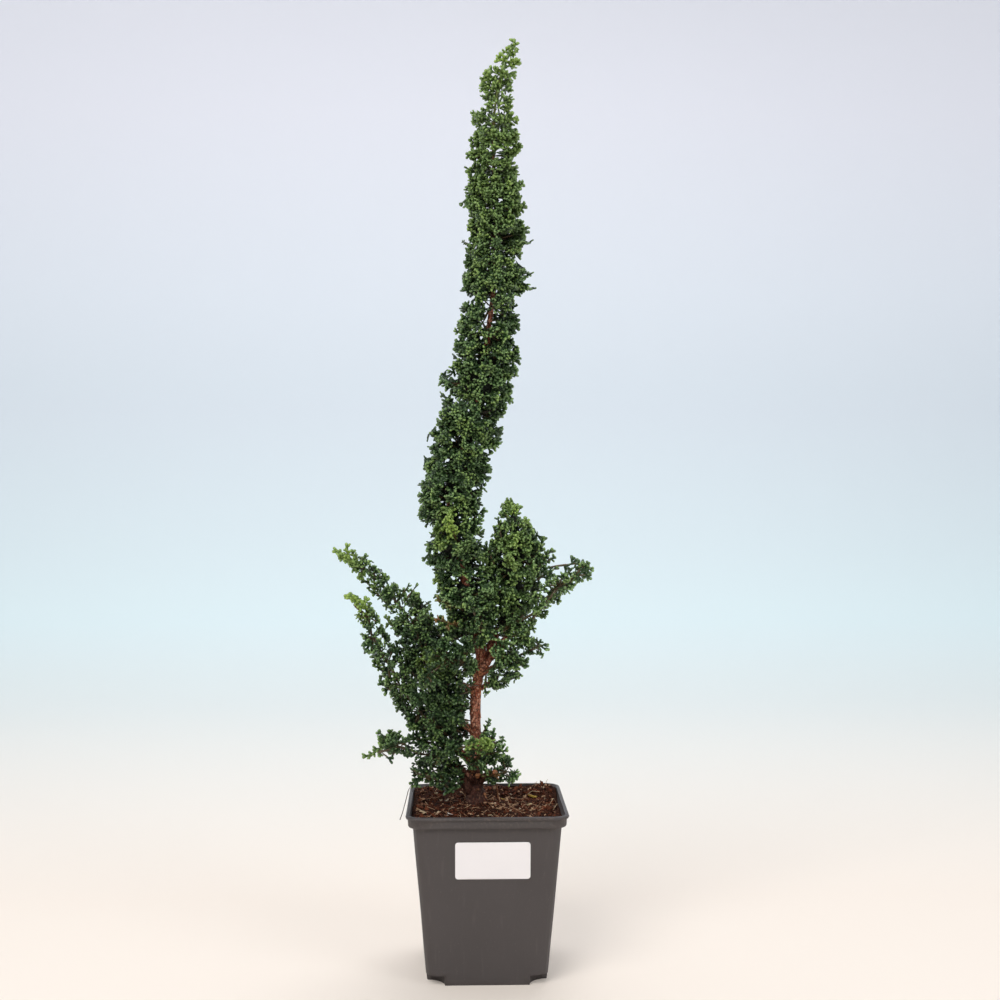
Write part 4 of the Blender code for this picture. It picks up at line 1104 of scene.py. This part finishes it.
FRESH_SPOTS = (
    ((-26, -28, 322), 17, 1.0), ((-31, -28, 308), 12, 1.0), ((-3, -22, 164), 14, 0.8),
    ((12, 0, 668), 34, 0.85), ((-109, -13, 303), 22, 0.75), ((-99, -20, 269), 24, 1.0),
    ((-88, -8, 150), 15, 0.4), ((25, 0, 333), 16, 0.95), ((-56, -10, 282), 8, 0.6),
    ((-40, -14, 220), 15, 0.70), ((-65, -6, 203), 13, 0.55), ((16, -20, 300), 26, 0.36),
    ((34, -14, 262), 36, 0.12), ((66, -4, 282), 18, 0.26), ((-58, -4, 268), 20, 0.16),
    ((74, -5, 287), 13, 0.85))
DEAD_SPOTS = (
    ((-26, -22, 258), 10, 0.8), ((-38, -24, 248), 6, 1.0), ((-37.5, -8, 149), 7, 1.0),
    ((-15, -10, 165), 4, 0.9), ((-2, -20, 138), 6, 0.8), ((6, -22, 262), 5, 0.5))

# Sprays in this box, the mass under the left boughs, get only dark tones: painted shade from the
# boughs above.
SHADED = ((-72, -11), (122, 244))
SHADED_TONE = 0.22
COLUMN = (335 * MM, 600 * MM)
COLUMN_TONE = 0.80
FRESH_FROM = 470 * MM
FRESH_TO = 680 * MM


def tone_and_shade_at(place, rng):
    """How light a spray at this place is; the mass under the left boughs is all dark, as painted
    shade.
    """
    (left, right), (low, high) = SHADED
    lightest = COLUMN_TONE if COLUMN[0] < place.z < COLUMN[1] else 1.0
    if left * MM < place.x < right * MM and low * MM < place.z < high * MM:
        lightest = SHADED_TONE
    return rng.uniform(0.0, lightest)


def tinted(place, rng):
    """How far a spray at this place is fresh yellow-green and how far dead and brown."""
    shares = []
    for spots in (FRESH_SPOTS, DEAD_SPOTS):
        share = 0.0
        for spot, reach, full in spots:
            away = (place - Vector(spot) * MM).length / (reach * MM)
            if away < 1.0:
                share = max(share, full * min(1.0, 1.6 * (1.0 - away)) * rng.uniform(0.7, 1.0))
        shares.append(share)
    climb = share_of(place.z, FRESH_FROM, FRESH_TO)
    shares[0] = max(shares[0], 0.55 * climb ** 1.5 * rng.uniform(0.6, 1.2))
    return shares


def leaf_finish():
    """Waxy scale leaves: dark old green, lighter tips with a painted sheen, fine dark lines between
    the scales, painted shade under the left boughs and painted shadow on the cores.
    """
    finish = Finish("cypress_leaf", roughness=0.40)
    along, across, tip = finish.axes(finish.read("leaf", "Vector"))
    tone, fresh, dead = finish.axes(finish.read("tint", "Vector"))
    cloud = finish.noise(9 * MM, 3.0)
    fine = finish.noise(0.8 * MM, 3.0)
    shade = finish.times(finish.plus(tone, cloud), 0.5)
    old = finish.mix(shade, (0.009, 0.029, 0.007), (0.034, 0.083, 0.020))
    # Young tips are a lighter fresh green; their pale grey-green upper end is also a painted sheen,
    # the highlight on the waxy tips.
    young = finish.mix(shade, (0.104, 0.232, 0.060), (0.332, 0.500, 0.200))
    # Low tones keep the tips dark too; under the left boughs that is painted shade.
    vigour_and_shade = finish.ramp(tone, -0.35, 0.75)
    end = finish.times(finish.ramp(along, 0.45, 0.95), tip)
    growth_and_sheen = finish.times(end, vigour_and_shade)
    base = finish.mix(growth_and_sheen, old, young)
    lime = finish.mix(finish.ramp(along, 0.0, 1.0), (0.062, 0.165, 0.020), (0.37, 0.52, 0.095))
    sunny = finish.times(finish.ramp(finish.noise(13 * MM, 2.0), 0.47, 0.63), 0.60)
    base = finish.mix(finish.times(growth_and_sheen, sunny), base, lime)
    base = finish.mix(fresh, base, lime)
    brown = finish.mix(fine, (0.09, 0.040, 0.014), (0.36, 0.15, 0.05))
    base = finish.mix(dead, base, brown)
    slant = finish.times(finish.maths("ABSOLUTE", across), 0.8)
    scale = finish.maths("FRACT", finish.plus(finish.times(along, 4.0), slant))
    joint = finish.ramp(scale, 0.75, 1.0)
    base = finish.over(base, joint, 0.35, (0.008, 0.016, 0.006))
    wood = finish.ramp(tone, -0.1, -0.4)
    twig = finish.mix(fine, (0.035, 0.022, 0.012), (0.12, 0.085, 0.03))
    twig = finish.mix(fresh, twig, finish.mix(fine, (0.05, 0.10, 0.02), (0.15, 0.24, 0.05)))
    base = finish.mix(wood, base, twig)
    inside = finish.ramp(tone, -0.7, -0.95)
    shadow = finish.mix(fine, (0.003, 0.006, 0.003), (0.012, 0.018, 0.008))
    base = finish.mix(inside, base, shadow)
    finish.colour(base)
    finish.roughness(finish.ramp(finish.plus(fine, finish.times(inside, 2.0)), -0.7, 3.0))
    finish.bump(finish.plus(scale, finish.times(fine, 0.6)), 0.12 * MM, 0.6)
    return finish.material


LOOSE_SHOOTS = (
    ((-61, -4, 262), (-52, -4, 274), 3, 6), ((44, -2, 289), (67, -2, 292), 3, 8),
    ((-50, -4, 157), (-73, -8, 168), 7, 10, 0.1, 0.0), ((-10, 6, 190), (-27, 12, 186), 5, 10),
    ((-10, 6, 172), (-26, 12, 169), 5, 10), ((-11, 0, 243), (-34, -22, 253), 4, 7, 0.0, 0.8),
    ((-12, 0, 256), (-33, -20, 266), 4, 7, 0.0, 0.35), ((6, 2, 240), (38, -4, 232), 8, 10),
    ((4, 2, 228), (24, -9, 221), 5, 10), ((8, 2, 246), (30, -12, 246), 6, 10),
    ((-8, 4, 148), (-25, -16, 160), 7, 10), ((-6, 4, 150), (9, -16, 158), 7, 10, 0.05, 0.0),
    ((-22, -18, 160), (-5, -26, 166), 5, 6, 0.6, 0.0),
    ((-6, 4, 136), (6, -12, 140), 3, 8, 0.0, 0.7), ((2, -3, 224), (15, -14, 234), 5, 9),
    ((6, -3, 231), (24, -15, 243), 6, 9), ((-3, -3, 213), (8, -15, 219), 5, 9),
    ((-5, -1, 203), (-18, -13, 206), 4, 8), ((-4, 3, 222), (-10, -12, 216), 4, 9),
    ((-16, 0, 233), (-35, -2, 249), 8, 8), ((-14, 6, 236), (-32, 10, 247), 6, 8),
    ((-56, 0, 205), (-64, -3, 230), 7, 8), ((-50, 2, 206), (-56, -2, 218), 5, 8),
    ((-66, 0, 198), (-80, -3, 222), 7, 8, 0.1, 0.0), ((7, 0, 288), (1, -2, 303), 5, 8),
    ((30, 0, 287), (40, -2, 307), 8, 8), ((34, 0, 278), (48, -2, 287), 5, 8),
    ((-70, 0, 260), (-89, -2, 281), 7, 7, 0.1, 0.0), ((-30, 0, 158), (-52, -4, 166), 7, 9),
    ((-34, 0, 143), (-51, -6, 135), 7, 8), ((-18, 2, 140), (-36, -4, 138), 6, 9),
    ((-4, 3, 165), (2, -2, 176), 5, 6), ((-30, -2, 208), (-38, -14, 214), 5, 9),
    ((-24, -2, 190), (-32, -14, 196), 5, 9), ((-8, 3, 200), (-22, -6, 196), 5, 9),
    ((-10, 0, 177), (-25, -11, 182), 6, 9), ((0, 0, 214), (-1, -6, 198), 5, 5),
    ((12, -2, 246), (2, -14, 243), 5, 9), ((-12, -4, 172), (-20, -12, 180), 5, 8),
    ((14, -2, 236), (6, -14, 231), 4, 8), ((17, -6, 222), (7, -15, 228), 5, 8),
    ((-26, 0, 268), (-35, -3, 286), 5, 6), ((-24, 0, 256), (-35, -4, 267), 4, 6),
    ((-32, 0, 146), (-50, -4, 147), 6, 7), ((-58, 0, 190), (-74, -2, 204), 6, 7),
    ((-50, 0, 178), (-65, -2, 189), 6, 7), ((-22, 2, 178), (-15, -2, 190), 4, 6),
    ((-22, 2, 190), (-14, 0, 198), 4, 6), ((34, 0, 288), (47, -2, 295), 5, 6),
    ((8, 0, 296), (6, -2, 316), 6, 6), ((12, 0, 305), (9, -2, 322), 4, 6),
    ((-14, 0, 320), (-4, -2, 329), 4, 6), ((50, -2, 276), (63, -2, 288), 5, 6),
    ((-66, -2, 262), (-57, -4, 275), 4, 6), ((-62, -2, 240), (-72, -4, 252), 4, 6, 0.3, 0.0),
    ((-18, 2, 228), (-31, -2, 242), 6, 7), ((16, 0, 222), (23, -3, 213), 4, 6),
    ((-20, -14, 306), (-27, -29, 322), 6, 8, 1.0, 0.0), ((31, 0, 284), (45, -3, 299), 7, 7),
    ((36, -2, 258), (50, -4, 268), 6, 8), ((40, -2, 265), (57, -4, 276), 6, 8),
    ((-12, 8, 140), (-34, 4, 150), 7, 8), ((-12, 8, 148), (-32, 6, 160), 7, 8),
    ((-10, 9, 134), (-31, 6, 139), 6, 8), ((-8, 8, 262), (8, 8, 282), 7, 9),
    ((-4, 8, 254), (14, 8, 268), 7, 9), ((-8, 10, 276), (6, 9, 296), 7, 9),
    ((6, 8, 246), (20, 8, 260), 6, 9), ((8, 8, 264), (16, 8, 286), 7, 9),
    ((-14, 8, 244), (-2, 9, 262), 6, 9), ((20, 6, 252), (34, 4, 264), 6, 9),
    ((-2, 0, 575), (-12, -2, 578), 5, 7, 0.2, 0.0), ((-2, 0, 592), (-10, -2, 598), 5, 7, 0.25, 0.0),
    ((-2, 0, 586), (-11, -2, 588), 5, 7, 0.25, 0.0), ((0, 0, 548), (-10, -2, 552), 5, 7, 0.15, 0.0),
    ((14, 0, 592), (23, -2, 594), 5, 7, 0.25, 0.0), ((14, 0, 564), (23, -2, 566), 5, 7, 0.2, 0.0),
    ((16, 0, 548), (24, -2, 550), 5, 7, 0.15, 0.0), ((-14, 8, 148), (-34, 10, 157), 6, 9),
    ((-14, 8, 166), (-36, 10, 175), 6, 9), ((-14, 8, 184), (-36, 10, 194), 6, 9),
    ((-14, 8, 202), (-34, 10, 212), 6, 9), ((-34, 8, 184), (-52, 8, 198), 6, 9),
    ((-36, 8, 204), (-54, 8, 217), 6, 8), ((-18, 8, 134), (-32, 8, 129), 5, 8),
    ((-40, 8, 168), (-54, 6, 179), 5, 8), ((-30, 8, 222), (-46, 8, 234), 5, 8),
    ((-46, 8, 234), (-59, 8, 239), 5, 7), ((-42, 8, 222), (-60, 8, 228), 6, 8),
    ((-46, 8, 200), (-60, 6, 208), 6, 8), ((-44, 8, 186), (-61, 6, 194), 6, 8),
    ((-28, 8, 236), (-43, 8, 242), 6, 7), ((-10, 8, 236), (-24, 8, 240), 5, 8),
    ((-10, 8, 214), (-24, 8, 219), 5, 8), ((-8, 8, 190), (-20, 8, 197), 5, 7),
    ((-36, 8, 166), (-48, 8, 172), 5, 8), ((-20, 8, 163), (-34, 8, 168), 5, 8),
    ((-30, 8, 141), (-46, 8, 144), 6, 7), ((-22, 8, 150), (-38, 8, 153), 5, 8),
    ((-12, 8, 144), (-30, 8, 141), 6, 8), ((-4, 8, 290), (-18, 8, 292), 5, 8),
    ((-12, 8, 280), (-26, 8, 284), 5, 7), ((0, 8, 279), (-14, 8, 281), 5, 8))


def make_loose_shoots(family, feathers, finger, material):
    """Single side twigs with sprays to both sides, each from one place to another."""
    rng = random.Random(21)
    bm = bmesh.new()
    lay_ends(bm, rng, feathers, finger)
    for start, end, count, reach, *tints in LOOSE_SHOOTS:
        fresh, dead = tints or (0.0, 0.0)
        start, end = Vector(start) * MM, Vector(end) * MM
        along = (end - start).normalized()
        wood = (-0.5, 0.0, dead)
        lay_twig(bm, finger, start, start.lerp(end, 0.7), LOOSE_TWIG_WIDE, wood)
        lay_twig(bm, finger, start.lerp(end, 0.4), end, TWIG_WIDE, wood)
        for number in range(count):
            share = 0.3 + 0.7 * (number + 1) / count
            side = (-1, 1)[number % 2] * (0.0 if number == count - 1 else 1.0)
            normal = square_to(
                along, Matrix.Rotation(rng.gauss(0, 0.6), 3, along) @ Vector((0, -1, 0.35)))
            course = Matrix.Rotation(side * rng.uniform(0.5, 1.0), 3, normal) @ along
            tint = (
                tone_and_shade_at(end, rng), fresh * rng.uniform(0.6, 1.2), dead * rng.uniform(0.7, 1.1))
            lay_spray(
                bm, rng, family, start.lerp(end, share) - course * 1.5 * MM, course, normal,
                reach * rng.uniform(0.75, 1.1) * MM, tint)
    new_piece("loose_shoots", bm, material)


def make_foliage():
    finger = finger_shape()
    family = spray_family(random.Random(3), finger, 1)
    feathers = spray_family(random.Random(4), finger, 0)
    material = leaf_finish()
    make_loose_shoots(family, feathers, finger, material)
    for node in sorted(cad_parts):
        if "shoot" in node:
            make_shoot(node, family, finger, material)


make_foliage()


# Studio. A pale seamless paper sweep, bent up behind the plant, with a plain pale wall far
# round it that closes the room to the camera. It is lit softly from above and both sides.

SWEEP_SIDE = 9.0
SWEEP_BACK = 1.2
SWEEP_BEND = 0.8
SWEEP_RISE = 3.0
SWEEP_GLOW = 0.258
FAR_GLOW = 0.62
FAR_FROM = 1.3
FAR_TO = 4.5
FAR_WALL = 14.0
ROOM_LIGHT = 0.30


def stage_piece(name, bm, finish):
    mesh = mesh_of(name, bm)
    mesh.shade_smooth()
    mesh.materials.append(finish.material)
    piece = bpy.data.objects.new(name, mesh)
    bpy.context.scene.collection.objects.link(piece)
    return piece


def make_sweep():
    bm = bmesh.new()
    profile = [bm.verts.new((-SWEEP_SIDE, y, 0)) for y in (-SWEEP_SIDE, SWEEP_BACK)]
    bm.edges.new(profile)
    centre = Vector((0, SWEEP_BACK, SWEEP_BEND))
    bmesh.ops.spin(
        bm, geom=[profile[1]], cent=centre, axis=(1, 0, 0), dvec=(0, 0, 0),
        angle=math.radians(90), steps=24)
    bm.verts.ensure_lookup_table()
    top = max(bm.verts, key=lambda vert: vert.co.z)
    riser = bmesh.ops.extrude_vert_indiv(bm, verts=[top])["verts"]
    bmesh.ops.translate(bm, verts=riser, vec=(0, 0, SWEEP_RISE))
    sheet = bmesh.ops.extrude_edge_only(bm, edges=bm.edges[:])
    wide = [vert for vert in sheet["geom"] if isinstance(vert, bmesh.types.BMVert)]
    bmesh.ops.translate(bm, verts=wide, vec=(2 * SWEEP_SIDE, 0, 0))
    bmesh.ops.recalc_face_normals(bm, faces=bm.faces)
    finish = Finish("sweep_paper", roughness=0.85)
    x, y, z = finish.axes(finish.place)
    rise = finish.plus(z, finish.times(y, 0.3))
    low = finish.mix(finish.ramp(rise, 0.05, 0.58), (0.71, 0.64, 0.575), (0.68, 0.79, 0.82))
    middle = finish.mix(finish.ramp(rise, 0.62, 1.12), low, (0.64, 0.70, 0.765))
    paper = finish.mix(finish.ramp(rise, 1.18, 1.80), middle, (0.71, 0.73, 0.81))
    finish.colour(paper)
    finish.put(paper, finish.shader.inputs["Emission Color"])
    from_middle = finish.maths("MAXIMUM", finish.maths("ABSOLUTE", x), finish.times(y, -1.0))
    away = finish.ramp(from_middle, FAR_FROM, FAR_TO)
    glow = finish.plus(finish.times(away, FAR_GLOW), SWEEP_GLOW)
    finish.put(glow, finish.shader.inputs["Emission Strength"])
    stage_piece("sweep", bm, finish)


def make_far_wall():
    bm = bmesh.new()
    bmesh.ops.create_uvsphere(bm, u_segments=48, v_segments=24, radius=FAR_WALL)
    bmesh.ops.reverse_faces(bm, faces=bm.faces)
    finish = Finish("far_wall_paint", roughness=0.9)
    rise = finish.ramp(finish.axes(finish.place)[2], -0.5, 5.0)
    finish.colour((0.0, 0.0, 0.0, 1.0))
    paint = finish.mix(rise, (0.90, 0.86, 0.82), (0.76, 0.80, 0.86))
    finish.put(paint, finish.shader.inputs["Emission Color"])
    finish.put(1.0, finish.shader.inputs["Emission Strength"])
    wall = stage_piece("far_wall", bm, finish)
    wall.visible_diffuse = False
    wall.visible_glossy = False
    wall.visible_transmission = False
    wall.visible_shadow = False


def soft_light(name, place, aim, size, power, tint):
    light = bpy.data.lights.new(name, "AREA")
    light.shape = "DISK"
    light.size = size
    light.energy = power
    light.color = tint
    lamp = bpy.data.objects.new(name, light)
    lamp.location = place
    lamp.rotation_euler = (Vector(aim) - Vector(place)).to_track_quat("-Z", "Y").to_euler()
    bpy.context.scene.collection.objects.link(lamp)


make_sweep()
make_far_wall()
soft_light("key", (-0.9, -1.5, 1.9), (0, 0, 0.3), 1.5, 34, (1.0, 0.98, 0.95))
soft_light("fill", (1.4, -1.2, 1.0), (0, 0, 0.3), 1.2, 10, (0.95, 0.98, 1.0))
soft_light("top", (0.1, 0.5, 2.0), (0, 0, 0.4), 1.0, 15, (1.0, 1.0, 1.0))

room = bpy.data.worlds.new("room")
room.use_nodes = True
air = room.node_tree.nodes["Background"]
air.inputs["Color"].default_value = (0.90, 0.95, 1.0, 1.0)
air.inputs["Strength"].default_value = ROOM_LIGHT
bpy.context.scene.world = room
